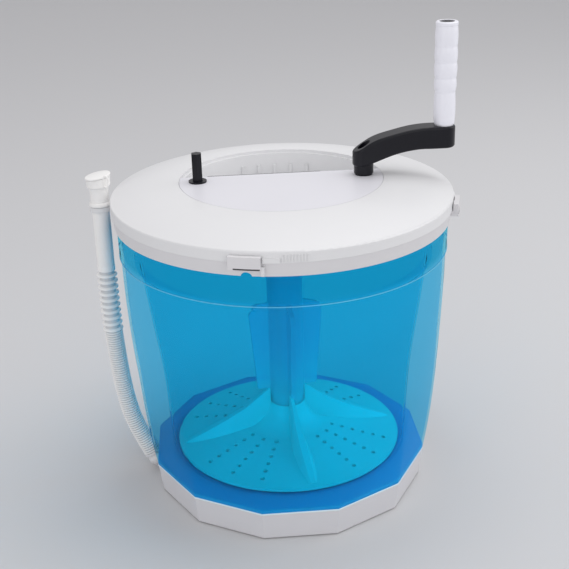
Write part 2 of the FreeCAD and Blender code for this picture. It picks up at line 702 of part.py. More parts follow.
def make_wash_column():
    body = tube(COLUMN_R, COLUMN_R - COLUMN_WALL, FLOOR_NECK_Z, COLUMN_TOP_Z)
    inside = COLUMN_R - COLUMN_WALL / 2
    outline = [
        (inside, FIN_LOW_Z), (FIN_LOW_R, FIN_LOW_Z), (FIN_TOP_R, FIN_TOP_Z - FIN_CORNER),
        (FIN_TOP_R - FIN_T, FIN_TOP_Z), (inside, FIN_TOP_Z + FIN_T),
    ]
    corners = [V(-FIN_T / 2, -r, z) for r, z in outline]
    fin = Part.Face(Part.makePolygon(corners + corners[:1])).extrude(V(FIN_T, 0, 0))
    return fused(body, *[around(fin, VANE_TURN + 360.0 / VANES * k) for k in range(VANES)])


SOCKET_TOP_Z = COLUMN_TOP_Z + SOCKET_FLANGE_T


def make_drive_socket():
    body = cylinder(COLUMN_R - COLUMN_WALL - SNUG / 2, SOCKET_LOW_Z, COLUMN_TOP_Z)
    body = body.fuse(cylinder(SOCKET_FLANGE_R, COLUMN_TOP_Z, SOCKET_TOP_Z))
    low = DOG_LOW_Z - DOG_FLOOR_ROOM
    pockets = [cylinder(DOG_CORE_R + DOG_ROOM, low, SOCKET_TOP_Z)]
    for side in (90.0, -90.0):
        pockets.append(sector(DOG_T / 3, DOG_LENGTH / 2 + DOG_ROOM, low, SOCKET_TOP_Z, side - SOCKET_SWING, side + SOCKET_SWING))
    return body.cut(pockets)


def collar_r(z):
    share = (z - COLLAR_LOW_Z) / (COLLAR_TOP_Z - COLLAR_LOW_Z)
    return COLLAR_LOW_R + (COLLAR_TOP_R - COLLAR_LOW_R) * share


def make_collar():
    wall_r = TUB_TOP_R + SNUG
    inner_r = COLLAR_BORE_R + COLLAR_INNER_WALL
    ring = turned([
        (wall_r, COLLAR_LOW_Z), (COLLAR_LOW_R, COLLAR_LOW_Z), (COLLAR_TOP_R, COLLAR_TOP_Z),
        (COLLAR_BORE_R, COLLAR_TOP_Z), (COLLAR_BORE_R, COLLAR_SKIRT_Z), (inner_r, COLLAR_SKIRT_Z),
        (inner_r, TUB_TOP_Z), (wall_r, TUB_TOP_Z),
    ])
    start = HOOD_CENTRE - HOOD_SPAN / 2
    end = HOOD_CENTRE + HOOD_SPAN / 2
    lug_room = LUG_OUT + FIT
    hood = sector(wall_r + COLLAR_WALL / 2, HOOD_R, HOOD_LOW_Z, HOOD_TOP_Z, start, end)
    lid_room = sector(wall_r, LID_R + THUMB_OUT + FIT, COLLAR_TOP_Z, HOOD_TOP_Z, start - 1.0, end + 1.0)
    wall_turn = math.degrees(2.5 * HOOD_WALL / HOOD_R)
    lug_way = sector(
        LID_R, LID_R + lug_room + LUG_ROOM, LUG_LOW_Z - FIT, LUG_TOP_Z + LUG_ROOM / 2, start + wall_turn, end + 1.0)
    hood = hood.cut([lid_room, lug_way])
    notch = cylinder(NOTCH_R, 0, HOOD_R)
    notch.rotate(V(0, 0, 0), V(1, 0, 0), 90)
    notch = moved(notch, V(0, 0, COLLAR_LOW_Z + NOTCH_H - NOTCH_R))
    notch = notch.cut(cylinder(wall_r, 0, COLLAR_TOP_Z))
    hoods = [around(hood, turn) for turn in LOCK_TURNS]
    notches = [around(notch, HOOD_CENTRE + turn) for turn in LOCK_TURNS]
    return fused(ring, *hoods).cut(notches)


def make_lid_seal():
    return tube(SEAL_OUT_R, SEAL_IN_R, COLLAR_TOP_Z, COLLAR_TOP_Z + SEAL_T)


DOME_R = LID_R - LID_EDGE_ROUND
DOME_Z = LID_EDGE_Z + LID_EDGE_ROUND
DOME_SWEEP = ((DOME_R - LID_FLAT_R) ** 2 + (LID_TOP_Z - DOME_Z) ** 2) / (2 * (LID_TOP_Z - DOME_Z))


def dome_z(radius):
    """Height of the lid's upper face outside the flat middle."""
    return LID_TOP_Z - DOME_SWEEP + math.sqrt(DOME_SWEEP ** 2 - (radius - LID_FLAT_R) ** 2)


COVER_LOW_Z = LID_TOP_Z - COVER_T
COVER_R = LID_FLAT_R - FIT
TOWER_AT = [V(SHAFT_X, 0, 0), V(-SHAFT_X, 0, 0)]
GRIP_AT = V(GRIP_X, 0, 0)
PRESS_R = (SEAL_IN_R + SEAL_OUT_R) / 2


def dome_ring(inner, outer, low):
    """A rim under the dome, from its inner face down to a height."""
    sink = LID_WALL / 2
    return turned([(inner, low), (outer, low), (outer, dome_z(outer) - sink), (inner, dome_z(inner) - sink)])


def make_lid_shell():
    pan_r = LID_FLAT_R - PAN_WALL
    edge = LID_EDGE_ROUND * (1 - math.sqrt(0.5))
    middle = (DOME_R + LID_FLAT_R) / 2
    inner_r = LID_R - LID_WALL
    shell = turned([
        (inner_r, COLLAR_TOP_Z), (LID_R, COLLAR_TOP_Z), (LID_R, LID_EDGE_Z),
        ("arc", (LID_R - edge, DOME_Z - edge), (DOME_R, DOME_Z)),
        ("arc", (middle, dome_z(middle)), (LID_FLAT_R, LID_TOP_Z)),
        (LID_FLAT_R, COVER_LOW_Z), (pan_r, COVER_LOW_Z), (pan_r, PAN_Z), (0, PAN_Z), (0, PAN_LOW_Z),
        (LID_FLAT_R, PAN_LOW_Z), (LID_FLAT_R, COVER_LOW_Z - LID_WALL / 2),
        ("arc", (middle, dome_z(middle) - LID_WALL), (inner_r - 1.0, dome_z(inner_r - 1.0) - LID_WALL)),
        (inner_r, LID_EDGE_Z - LID_WALL / 2),
    ])
    guide_r = COLLAR_BORE_R - FIT
    extras = [
        dome_ring(guide_r - LID_WALL, guide_r, GUIDE_LOW_Z),
        dome_ring(PRESS_R - LID_WALL / 2, PRESS_R + LID_WALL / 2, COLLAR_TOP_Z + SEAL_T),
    ]
    # The recess for a hand is closed in front by a wall under the cover's straight edge.
    inside = cylinder(pan_r + PAN_WALL / 2, PAN_LOW_Z, COVER_LOW_Z)
    front = block(-LID_FLAT_R, LID_FLAT_R, RECESS_Y - LID_WALL, RECESS_Y, PAN_LOW_Z, COVER_LOW_Z)
    extras.append(front.common(inside))
    for k in range(-2, 3):
        x = GRIP_RIB_STEP * k
        y = math.sqrt(pan_r ** 2 - x ** 2)
        extras.append(block(
            x - GRIP_RIB_W / 2, x + GRIP_RIB_W / 2, y - GRIP_RIB_OUT, y + PAN_WALL / 4, PAN_LOW_Z, PAN_Z + GRIP_RIB_H))
    tower_r = LID_BUSH_R + SNUG + TOWER_WALL
    extras += [cylinder(tower_r, PAN_LOW_Z, COVER_LOW_Z, at) for at in TOWER_AT]
    extras.append(cylinder(OUTPUT_TOP_R + RUN + TOWER_WALL, PAN_LOW_Z, OUTPUT_TOP_Z + TOWER_WALL))
    lug = sector(
        inner_r + 0.5, LID_R + LUG_OUT, LUG_LOW_Z, LUG_TOP_Z,
        LUG_CENTRE - LUG_SPAN / 2, LUG_CENTRE + LUG_SPAN / 2)
    thumb = sector(
        inner_r + 0.5, LID_R + THUMB_OUT, THUMB_LOW_Z, THUMB_TOP_Z, -THUMB_STEP * 0.28, THUMB_STEP * 0.28)
    for turn in LOCK_TURNS:
        extras.append(around(lug, turn))
        first = THUMB_CENTRE - THUMB_STEP * (THUMB_RIBS - 1) / 2
        extras += [around(thumb, turn + first + THUMB_STEP * n) for n in range(THUMB_RIBS)]
    cuts = [cylinder(LID_BUSH_R + SNUG, PAN_LOW_Z, COVER_LOW_Z, at) for at in TOWER_AT]
    cuts.append(cylinder(OUTPUT_TOP_R + RUN, PAN_LOW_Z, OUTPUT_TOP_Z + SNUG))
    cuts += [cylinder(CASE_SCREW_R + SNUG / 2, PAN_LOW_Z, PAN_LOW_Z + CASE_PILOT, at) for at in EAR_AT]
    # The pan's floor spreads out over the gear case and carries its screws.
    extras.append(stadium(CASE_OUT_R, PAN_LOW_Z, PAN_Z))
    for at in EAR_AT:
        extras.append(cylinder(EAR_R, PAN_LOW_Z, PAN_LOW_Z + CASE_PILOT + TOWER_WALL, at))
    return shell.fuse(extras).cut(cuts)


def make_top_cover():
    disc = cylinder(COVER_R, COVER_LOW_Z, LID_TOP_Z)
    behind = block(-LID_R, LID_R, RECESS_Y, LID_R, COVER_LOW_Z, LID_TOP_Z)
    return disc.cut([behind] + [cylinder(LID_BUSH_R + SNUG, COVER_LOW_Z, LID_TOP_Z, at) for at in TOWER_AT])


def make_spindle_bushes():
    bushes = []
    for at in TOWER_AT:
        body = cylinder(LID_BUSH_R, PAN_LOW_Z, LID_TOP_Z, at)
        body = body.fuse(cylinder(LID_BUSH_FLANGE_R, LID_TOP_Z, LID_BUSH_TOP_Z, at))
        bushes.append(body.cut(cylinder(SPINDLE_R + RUN, PAN_LOW_Z, LID_BUSH_TOP_Z, at)))
    return Part.makeCompound(bushes)


def pitch_r(teeth):
    return MODULE * teeth / 2


CASE_R = pitch_r(CRANK_TEETH) + MODULE + CASE_ROOM
CASE_OUT_R = CASE_R + CASE_WALL
CASE_FLOOR_Z = CASE_LOW_Z + CASE_WALL
EAR_Y = CASE_OUT_R + EAR_R - CASE_WALL
EAR_AT = [V(x, y, 0) for x in (-CASE_SCREW_X, CASE_SCREW_X) for y in (-EAR_Y, EAR_Y)] + [V(0, -EAR_Y, 0)]
EAR_LOW_Z = PAN_LOW_Z - EAR_T
OUTPUT_TOP_Z = PAN_Z + OUTPUT_TOP_H
LOW_SEAT_Z = LOW_GEAR_Z - FIT
HIGH_SEAT_Z = HIGH_GEAR_Z - FIT
JOURNAL_LOW_Z = CASE_FLOOR_Z
OUTPUT_BUSH_R = OUTPUT_R + RUN + OUTPUT_BUSH_WALL
OUTPUT_BUSH_FLANGE_R = OUTPUT_BUSH_R + OUTPUT_BUSH_LIP
OUTPUT_BUSH_LOW_Z = CASE_LOW_Z - OUTPUT_BUSH_LIP


def stadium(radius, low, high):
    """A long round-ended block over the two outer shafts."""
    ends = [cylinder(radius, low, high, at) for at in TOWER_AT]
    return fused(block(-SHAFT_X, SHAFT_X, -radius, radius, low, high), *ends)


def make_gear_case():
    boss_r = SPINDLE_R + RUN + TOWER_WALL
    outside = [stadium(CASE_OUT_R, CASE_LOW_Z, PAN_LOW_Z)]
    outside += [cylinder(EAR_R, EAR_LOW_Z, PAN_LOW_Z, at) for at in EAR_AT]
    outside.append(cylinder(OUTPUT_BUSH_R + TOWER_WALL, OUTPUT_BUSH_LOW_Z, CASE_FLOOR_Z))
    body = fused(*outside).cut(stadium(CASE_R, CASE_FLOOR_Z, PAN_LOW_Z))
    seats = list(zip(TOWER_AT, (LOW_SEAT_Z, HIGH_SEAT_Z)))
    body = fused(body, *[cylinder(boss_r, CASE_LOW_Z, seat, at) for at, seat in seats])
    cuts = [cylinder(CASE_SCREW_R + SNUG, EAR_LOW_Z, PAN_LOW_Z, at) for at in EAR_AT]
    cuts += [cylinder(SPINDLE_R + RUN, CASE_FLOOR_Z, seat, at) for at, seat in seats]
    cuts.append(cylinder(OUTPUT_BUSH_R + SNUG / 2, OUTPUT_BUSH_LOW_Z, CASE_FLOOR_Z))
    return body.cut(cuts)


def make_case_screws():
    screws = []
    for at in EAR_AT:
        head = cylinder(CASE_SCREW_HEAD_R, EAR_LOW_Z - CASE_SCREW_HEAD_H, EAR_LOW_Z, at)
        screws.append(head.fuse(cylinder(CASE_SCREW_R, EAR_LOW_Z, PAN_LOW_Z + CASE_PILOT - SNUG, at)))
    return Part.makeCompound(screws)


def make_output_bush():
    body = cylinder(OUTPUT_BUSH_R, OUTPUT_BUSH_LOW_Z, CASE_FLOOR_Z)
    body = body.fuse(cylinder(OUTPUT_BUSH_FLANGE_R, CASE_FLOOR_Z, LOW_SEAT_Z))
    return body.cut(cylinder(OUTPUT_R + RUN, OUTPUT_BUSH_LOW_Z, LOW_SEAT_Z))


def gear_outline(teeth, turn):
    """Involute flanks in two chords each, from the root to the tip."""
    pitch = pitch_r(teeth)
    base = pitch * math.cos(math.radians(PRESSURE_ANGLE))
    half = math.pi / (2 * teeth) - BACKLASH / (2 * pitch)

    def flank(radius):
        roll = math.acos(min(1.0, base / radius))
        ahead = math.radians(PRESSURE_ANGLE)
        return half + math.tan(ahead) - ahead - (math.tan(roll) - roll)

    radii = [pitch - 1.2 * MODULE, pitch, pitch + 0.95 * MODULE]
    points = []
    for k in range(teeth):
        middle = math.radians(turn) + 2 * math.pi * k / teeth
        for radius in radii:
            points.append((radius, middle - flank(max(radius, base))))
        for radius in reversed(radii):
            points.append((radius, middle + flank(max(radius, base))))
    return [(radius * math.cos(a), radius * math.sin(a)) for radius, a in points]


def gear(teeth, turn, low, flats, at):
    outline = [(at.x + x, at.y + y) for x, y in gear_outline(teeth, turn)]
    return prism(outline, low, low + GEAR_T).cut(hexagon(flats + 2 * SNUG, low, low + GEAR_T, at))


def make_spindle(at, seat, post_top):
    """Journals at both ends, a hexagon for the gear and a hexagon post for the crank."""
    shaft = cylinder(SPINDLE_R, JOURNAL_LOW_Z, LID_BUSH_TOP_Z, at)
    collar = hexagon(SPINDLE_FLATS, seat, seat + FIT + GEAR_T, at)
    post = hexagon(POST_FLATS, LID_BUSH_TOP_Z, post_top, at)
    return shaft.fuse([collar, post])


def make_output_gear():
    flats = OUTPUT_FLATS
    low = prism(gear_outline(PINION_TEETH, 0.0), LOW_GEAR_Z, LOW_GEAR_Z + GEAR_T)
    high = prism(gear_outline(WASH_TEETH, 0.0), HIGH_GEAR_Z, HIGH_GEAR_Z + GEAR_T)
    neck = hexagon(flats + OUTPUT_HUB, LOW_GEAR_Z, HIGH_GEAR_Z + GEAR_T)
    body = low.fuse([high, neck])
    return body.cut(hexagon(flats + 2 * SNUG, LOW_GEAR_Z, HIGH_GEAR_Z + GEAR_T))


DOG_TOP_Z = OUTPUT_BUSH_LOW_Z - FIT


def make_output_shaft():
    top = HIGH_GEAR_Z + GEAR_T
    shaft = cylinder(OUTPUT_R, DOG_TOP_Z, LOW_SEAT_Z)
    square = block(-DOG_SQUARE / 2, DOG_SQUARE / 2, -DOG_SQUARE / 2, DOG_SQUARE / 2, DOG_LOW_Z, DOG_TOP_Z)
    return shaft.fuse([square, hexagon(OUTPUT_FLATS, LOW_SEAT_Z, top), cylinder(OUTPUT_TOP_R, top, OUTPUT_TOP_Z)])


def make_drive_dog():
    bar = block(-DOG_LENGTH / 2, DOG_LENGTH / 2, -DOG_T / 2, DOG_T / 2, DOG_LOW_Z, DOG_TOP_Z)
    bar = bar.common(cylinder(DOG_LENGTH / 2, DOG_LOW_Z, DOG_TOP_Z))
    half = DOG_SQUARE / 2 + SNUG
    return bar.fuse(cylinder(DOG_CORE_R, DOG_LOW_Z, DOG_TOP_Z)).cut(
        block(-half, half, -half, half, DOG_LOW_Z, DOG_TOP_Z))


def spline(points):
    curve = Part.BSplineCurve()
    curve.interpolate([V(x, 0, z) for x, z in points])
    return curve.toShape()


def arm_edge(first, shape):
    """Points along the arm's upper or lower side, from behind the hub to short of the grip."""
    points = [(SHAFT_X + ARM_START, HUB_LOW_Z + ARM_RISE * first)]
    points += [(SHAFT_X + ARM_REACH * out, HUB_LOW_Z + ARM_RISE * up) for out, up in shape]
    return points


def make_crank_arm():
    top = arm_edge(ARM_FIRST_TOP, ARM_TOP_SHAPE)
    low = arm_edge(ARM_FIRST_LOW, ARM_LOW_SHAPE)
    end_x = GRIP_X + ARM_W / 2 + SNUG
    corners = [top[-1], (end_x, ARM_END_TOP_Z), (end_x, ARM_END_LOW_Z), low[-1]]
    edges = [spline(top)]
    for (x0, z0), (x1, z1) in zip(corners, corners[1:]):
        edges.append(Part.LineSegment(V(x0, 0, z0), V(x1, 0, z1)).toShape())
    edges.append(spline(list(reversed(low))))
    edges.append(Part.LineSegment(V(low[0][0], 0, low[0][1]), V(top[0][0], 0, top[0][1])).toShape())
    side = Part.Face(Part.Wire(edges))
    slab = moved(side, V(0, -ARM_W / 2 - SNUG, 0)).extrude(V(0, ARM_W + 2 * SNUG, 0))
    hub_at = TOWER_AT[0]
    roof = ARM_END_TOP_Z + SNUG
    plan = fused(
        block(SHAFT_X, GRIP_X, -ARM_W / 2, ARM_W / 2, HUB_LOW_Z, roof),
        cylinder(ARM_W / 2, HUB_LOW_Z, roof, hub_at), cylinder(ARM_W / 2, HUB_LOW_Z, roof, GRIP_AT))
    arm = slab.common(plan).removeSplitter()
    rim = [e for e in arm.Edges if abs(e.tangentAt(e.FirstParameter).z) < 0.9]
    arm = arm.makeFillet(ARM_ROUND, rim)
    arm = arm.fuse(cylinder(ARM_HUB_R, HUB_LOW_Z, low[0][1] + ARM_HUB_SUNK, hub_at))
    socket = hexagon(POST_FLATS + 2 * SNUG, HUB_LOW_Z, roof, hub_at)
    well = cylinder(SPINDLE_R + WELL_ROOM, CRANK_POST_Z - WELL_SUNK, roof, hub_at)
    return arm.cut([socket, well, cylinder(GRIP_PIN_R, ARM_END_LOW_Z, roof, GRIP_AT)])


GRIP_WELL_Z = GRIP_TOP_Z - GRIP_WELL


def make_grip_pin():
    pin = cylinder(GRIP_PIN_R, ARM_END_LOW_Z, GRIP_WELL_Z + GRIP_PIN_HEAD_H, GRIP_AT)
    head = cylinder(GRIP_PIN_HEAD_R, GRIP_WELL_Z + FIT, GRIP_WELL_Z + GRIP_PIN_HEAD_H, GRIP_AT)
    return pin.fuse(head)


def make_crank_grip():
    low = ARM_END_TOP_Z
    bore = GRIP_PIN_R + RUN
    well_r = GRIP_PIN_HEAD_R + GRIP_WELL_ROOM
    end_r = GRIP_R - GRIP_END_IN
    here = low + GRIP_FOOT_H
    steps = [(bore, low), (GRIP_R - GRIP_FOOT_IN, low), (GRIP_R * GRIP_RINGS[0][1] - GRIP_WAIST, here)]
    # Shallow waists between soft rings, with the longest ring at the foot.
    for share, swell in GRIP_RINGS:
        ring = (GRIP_LENGTH - GRIP_FOOT_H - GRIP_END_H) * share
        radius = GRIP_R * swell
        middle = here + ring / 2
        here += ring
        steps.append(("arc", (radius, middle), (radius - GRIP_WAIST, here)))
    steps += [(end_r, here + GRIP_WAIST), (end_r, GRIP_TOP_Z - GRIP_END_ROUND)]
    steps += [(end_r - GRIP_END_ROUND, GRIP_TOP_Z)]
    steps += [(well_r, GRIP_TOP_Z), (well_r, GRIP_WELL_Z), (bore, GRIP_WELL_Z)]
    return moved(turned(steps), GRIP_AT)


ELBOW_AT = polar(ELBOW_R, DRAIN_TURN, DRAIN_Z)
NOZZLE_AT = polar(NOZZLE_R, NOZZLE_TURN)
OUT = V(NOZZLE_AT.x - ELBOW_AT.x, NOZZLE_AT.y - ELBOW_AT.y, 0)
HOSE_REACH = OUT.Length
OUT.normalize()
ASIDE = UP.cross(OUT)


def hose_point(out_share, up_share):
    out = HOSE_REACH * out_share
    return V(ELBOW_AT.x + OUT.x * out, ELBOW_AT.y + OUT.y * out, NOZZLE_LOW_Z * up_share)


FIRST_BEND = hose_point(*HOSE_SHAPE[0])
BARB_WAY = FIRST_BEND.sub(ELBOW_AT).normalize()
HOSE_START = ELBOW_AT + BARB_WAY * BARB_STOP


def hose_route():
    return [HOSE_START] + [hose_point(*p) for p in HOSE_SHAPE]


def bent_path(points):
    """Straight runs joined by tangent arcs, each as large as its two runs allow."""
    edges, here = [], points[0]
    for before, corner, after in zip(points, points[1:], points[2:]):
        into = corner.sub(before)
        onward = after.sub(corner)
        turn = into.getAngle(onward)
        reach = 0.45 * min(into.Length, onward.Length)
        radius = reach / math.tan(turn / 2)
        print("hose bend radius", round(radius, 1), "turn", round(math.degrees(turn), 1))
        into.normalize()
        onward.normalize()
        start = corner - into * reach
        end = corner + onward * reach
        inward = onward.sub(into).normalize()
        middle = corner + inward * (radius / math.cos(turn / 2) - radius)
        edges.append(Part.LineSegment(here, start).toShape())
        edges.append(Part.Arc(start, middle, end).toShape())
        here = end
    edges.append(Part.LineSegment(here, points[-1]).toShape())
    return edges


def along(edges, distance):
    """The point and direction at a distance along a chain of edges."""
    for edge in edges:
        if distance <= edge.Length + 1e-9:
            break
        distance -= edge.Length
    place = edge.getParameterByLength(min(distance, edge.Length))
    return edge.valueAt(place), edge.tangentAt(place)


def ring_wire(edges, distance, radius):
    """A circle square to the path, its start held to one steady side."""
    at, way = along(edges, distance)
    frame = FreeCAD.Rotation(ASIDE, V(0, 0, 0), way, "ZXY")
    wire = Part.Wire(Part.makeCircle(radius))
    wire.Placement = FreeCAD.Placement(at, frame)
    return wire


def make_hose():
    edges = bent_path(hose_route())
    length = sum(e.Length for e in edges)
    fine_step = (length - WIDE_LENGTH) / FINE_RIBS
    wide_step = WIDE_LENGTH / WIDE_RIBS
    stations = []
    for k in range(FINE_RIBS):
        start = fine_step * k
        stations += [(start + fine_step * share, r) for share, r in (
            (0.0, HOSE_ROOT_R), (0.25, FINE_CREST_R), (0.55, FINE_CREST_R), (0.8, HOSE_ROOT_R))]
    for k in range(WIDE_RIBS):
        start = length - WIDE_LENGTH + wide_step * k
        stations += [(start + wide_step * share, r) for share, r in (
            (0.0, HOSE_ROOT_R), (0.2, WIDE_CREST_R), (0.65, WIDE_CREST_R), (0.85, HOSE_ROOT_R))]
    stations.append((length, HOSE_ROOT_R))
    outside = Part.makeLoft([ring_wire(edges, d, r) for d, r in stations], True, True)
    bore_rings = [ring_wire(edges, length * k / FINE_RIBS, HOSE_BORE_R) for k in range(FINE_RIBS + 1)]
    hose = outside.cut(Part.makeLoft(bore_rings, True, True))
    section = 0.0
    for (d0, r0), (d1, r1) in zip(stations, stations[1:]):
        section += math.pi * (d1 - d0) * (r0 * r0 + r0 * r1 + r1 * r1) / 3
    section -= math.pi * HOSE_BORE_R ** 2 * length
    print("hose length", round(length, 1), "volume", round(hose.Volume), "section times length", round(section))
    return hose


def make_drain_outlet():
    down = V(DRAIN_AT.x, DRAIN_AT.y, DRAIN_Z)
    run = ELBOW_AT.sub(down)

    def bends(radius, knuckle):
        """A drop from the tub floor, a run through the base wall and a rounded knuckle at each end."""
        drop = cylinder(radius, DRAIN_Z, TUB_LOW_Z, DRAIN_AT)
        level = Part.makeCylinder(radius, run.Length, down, run)
        return drop.fuse([level, Part.makeSphere(knuckle, down), Part.makeSphere(knuckle, ELBOW_AT)])

    stop_at = ELBOW_AT + BARB_WAY * (BARB_STOP - BARB_STOP_T)
    body = bends(DRAIN_PIPE_R, DRAIN_PIPE_R + KNUCKLE).fuse([
        cylinder(DRAIN_FLANGE_R, TUB_LOW_Z - DRAIN_FLANGE_T, TUB_LOW_Z, DRAIN_AT),
        cylinder(DRAIN_SUMP_R - SNUG, TUB_LOW_Z, TUB_FLOOR_Z, DRAIN_AT),
        Part.makeCylinder(BARB_STOP_R, BARB_STOP_T, stop_at, BARB_WAY),
        Part.makeCylinder(BARB_R, BARB_STOP + BARB_LENGTH, ELBOW_AT, BARB_WAY),
    ])
    bore = bends(DRAIN_BORE_R, DRAIN_BORE_R + KNUCKLE).fuse([
        cylinder(DRAIN_BORE_R, DRAIN_Z, TUB_FLOOR_Z, DRAIN_AT),
        Part.makeCylinder(DRAIN_BORE_R, BARB_STOP + BARB_LENGTH, ELBOW_AT, BARB_WAY),
    ])
    return body.cut(bore)


def make_hose_nozzle():
    wall = NOZZLE_TUBE_R - NOZZLE_BORE_R
    flare_z = NOZZLE_TOP_Z - NOZZLE_FLARE_H
    steps = [
        (NOZZLE_BORE_R, NOZZLE_LOW_Z), (NOZZLE_TUBE_R, NOZZLE_LOW_Z), (NOZZLE_TUBE_R, BEAD_LOW_Z),
        (BEAD_R, BEAD_LOW_Z), (BEAD_R, BEAD_LOW_Z + BEAD_H * 0.6), (NOZZLE_TUBE_R, BEAD_LOW_Z + BEAD_H),
        (NOZZLE_TUBE_R, flare_z), (NOZZLE_MOUTH_R, NOZZLE_TOP_Z - NOZZLE_MOUTH_H), (NOZZLE_MOUTH_R, NOZZLE_TOP_Z),
        (NOZZLE_MOUTH_R - wall, NOZZLE_TOP_Z), (NOZZLE_BORE_R, flare_z + NOZZLE_MOUTH_H / 2),
    ]
    return moved(turned(steps), NOZZLE_AT)


def make_hose_clip():
    high = BEAD_LOW_Z
    low = high - CLIP_H
    ring_in = NOZZLE_TUBE_R + SNUG
    ring_out = ring_in + CLIP_WALL
    plate = turned([
        (collar_r(low) + SNUG, low), (collar_r(low) + CLIP_WALL, low),
        (collar_r(high) + CLIP_WALL, high), (collar_r(high) + SNUG, high),
    ], CLIP_SPAN)
    plate = around(plate, NOZZLE_TURN - CLIP_SPAN / 2 - 90.0)
    arm = block(-CLIP_ARM_W / 2, CLIP_ARM_W / 2, -NOZZLE_R, -collar_r(high) - CLIP_WALL / 2, low, high)
    arm = around(arm, NOZZLE_TURN)
    ring = cylinder(ring_out, low, high, NOZZLE_AT)
    gap = around(block(-CLIP_GAP / 2, CLIP_GAP / 2, -NOZZLE_R - 2 * ring_out, -NOZZLE_R, low, high), NOZZLE_TURN)
    return plate.fuse([arm, ring]).cut([cylinder(ring_in, low, high, NOZZLE_AT), gap])


def make_drain_plug():
    stem_r = NOZZLE_BORE_R - FIT
    low = NOZZLE_TOP_Z - PLUG_STEM_H
    disc = cylinder(NOZZLE_MOUTH_R, NOZZLE_TOP_Z, NOZZLE_TOP_Z + PLUG_T, NOZZLE_AT)
    stem = cylinder(stem_r, low, NOZZLE_TOP_Z, NOZZLE_AT)
    hollow = cylinder(stem_r - PLUG_WALL, low, NOZZLE_TOP_Z, NOZZLE_AT)
    side = polar(1.0, NOZZLE_TURN - 90.0)
    ring_at = NOZZLE_AT + side * (NOZZLE_MOUTH_R + RING_R - RING_SUNK) + V(0, 0, NOZZLE_TOP_Z + PLUG_T / 2)
    ring = Part.makeTorus(RING_R, RING_WIRE_R, ring_at, UP)
    return disc.fuse([stem, ring]).cut(hollow)


CRANK_AT, WASH_AT = TOWER_AT

export(make_base(), "base_plinth")
export(make_feet(), "rubber_feet")
export(make_base_screws(), "base_screws")
export(make_tub(), "tub_shell")
export(make_pivot_pin(), "pivot_pin")
export(make_sump_tray(), "sump_tray")
export(make_thrust_washer(), "thrust_washer")
export(make_collar(), "rim_collar")
export(make_hose_clip(), "hose_clip")
export(make_drain_outlet(), "drain_outlet")
export(make_hose(), "drain_hose")
export(make_hose_nozzle(), "hose_nozzle")
export(make_drain_plug(), "drain_plug")
export(make_basket_wall(), "basket_wall")
export(make_basket_floor(), "basket_floor")
export(make_wash_column(), "wash_column")
export(make_pivot_bush(), "pivot_bush")
export(make_drive_socket(), "drive_socket")
export(make_lid_seal(), "lid_seal")
export(make_lid_shell(), "lid_shell")
export(make_top_cover(), "top_cover")
export(make_gear_case(), "gear_case")
export(make_case_screws(), "case_screws")
export(make_spindle_bushes(), "spindle_bushes")
export(make_output_bush(), "output_bush")
export(make_spindle(CRANK_AT, LOW_SEAT_Z, CRANK_POST_Z), "crank_spindle")
export(gear(CRANK_TEETH, 0.0, LOW_GEAR_Z, SPINDLE_FLATS, CRANK_AT), "crank_gear")
export(make_spindle(WASH_AT, HIGH_SEAT_Z, WASH_POST_Z), "wash_spindle")
export(gear(WASH_TEETH, 180.0 / WASH_TEETH, HIGH_GEAR_Z, SPINDLE_FLATS, WASH_AT), "wash_gear")
export(make_output_gear(), "output_gear")
export(make_output_shaft(), "output_shaft")
export(make_drive_dog(), "drive_dog")
export(make_crank_arm(), "crank_arm")
export(make_grip_pin(), "grip_pin")
export(make_crank_grip(), "crank_grip")
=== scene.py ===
"""Looks of the hand-crank tub washer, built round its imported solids.

Metres, in the frame of the solids: +Z up, the front at -Y, the crank towards +X.
"""
import math

import bpy
from mathutils import Matrix, Vector


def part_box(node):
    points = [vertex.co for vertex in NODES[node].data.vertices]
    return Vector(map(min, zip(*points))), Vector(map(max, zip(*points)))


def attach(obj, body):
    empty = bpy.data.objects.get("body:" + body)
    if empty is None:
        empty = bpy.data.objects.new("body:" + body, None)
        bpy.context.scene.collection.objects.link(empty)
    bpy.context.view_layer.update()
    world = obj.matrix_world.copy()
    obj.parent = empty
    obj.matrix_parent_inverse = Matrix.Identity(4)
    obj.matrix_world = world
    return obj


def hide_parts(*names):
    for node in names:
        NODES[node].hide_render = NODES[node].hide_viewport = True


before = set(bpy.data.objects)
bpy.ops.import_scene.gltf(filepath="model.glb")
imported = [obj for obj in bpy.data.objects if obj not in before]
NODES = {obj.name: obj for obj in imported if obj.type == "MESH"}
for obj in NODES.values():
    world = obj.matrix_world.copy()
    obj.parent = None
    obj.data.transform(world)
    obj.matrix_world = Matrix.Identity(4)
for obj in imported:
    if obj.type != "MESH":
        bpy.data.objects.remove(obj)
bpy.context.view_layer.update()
scene = bpy.context.scene
MM = 0.001

# Camera at the photograph's angle
LENS_MM = 69.095
SENSOR_MM = 36.0
EYE = Vector((-0.07356, -1.06722, 0.67399))
EYE_RIGHT = Vector((0.99643, -0.08015, -0.02629))
EYE_UP = Vector((0.05540, 0.38684, 0.92048))
EYE_BACK = Vector((-0.06361, -0.91866, 0.38990))

# Lamps: power in watts, width and height, place, and the point each one faces
LAMPS = {
    "overhead_softbox": (12.0, (1.6, 1.6), (0.5, 0.2, 2.2), (0.0, 0.0, 0.2)),
    "right_softbox": (10.5, (1.8, 1.6), (2.1, 0.1, 1.1), (0.0, 0.0, 0.15)),
    "left_softbox": (4.5, (0.8, 1.2), (-1.2, -1.6, 0.7), (-0.2, 0.0, 0.15)),
    "front_fill": (5.5, (1.6, 1.0), (0.6, -2.2, 0.9), (-0.1, 0.0, 0.15)),
}
WORLD_COLOUR = (0.945, 0.94, 0.96, 1.0)
WORLD_STRENGTH = 0.70

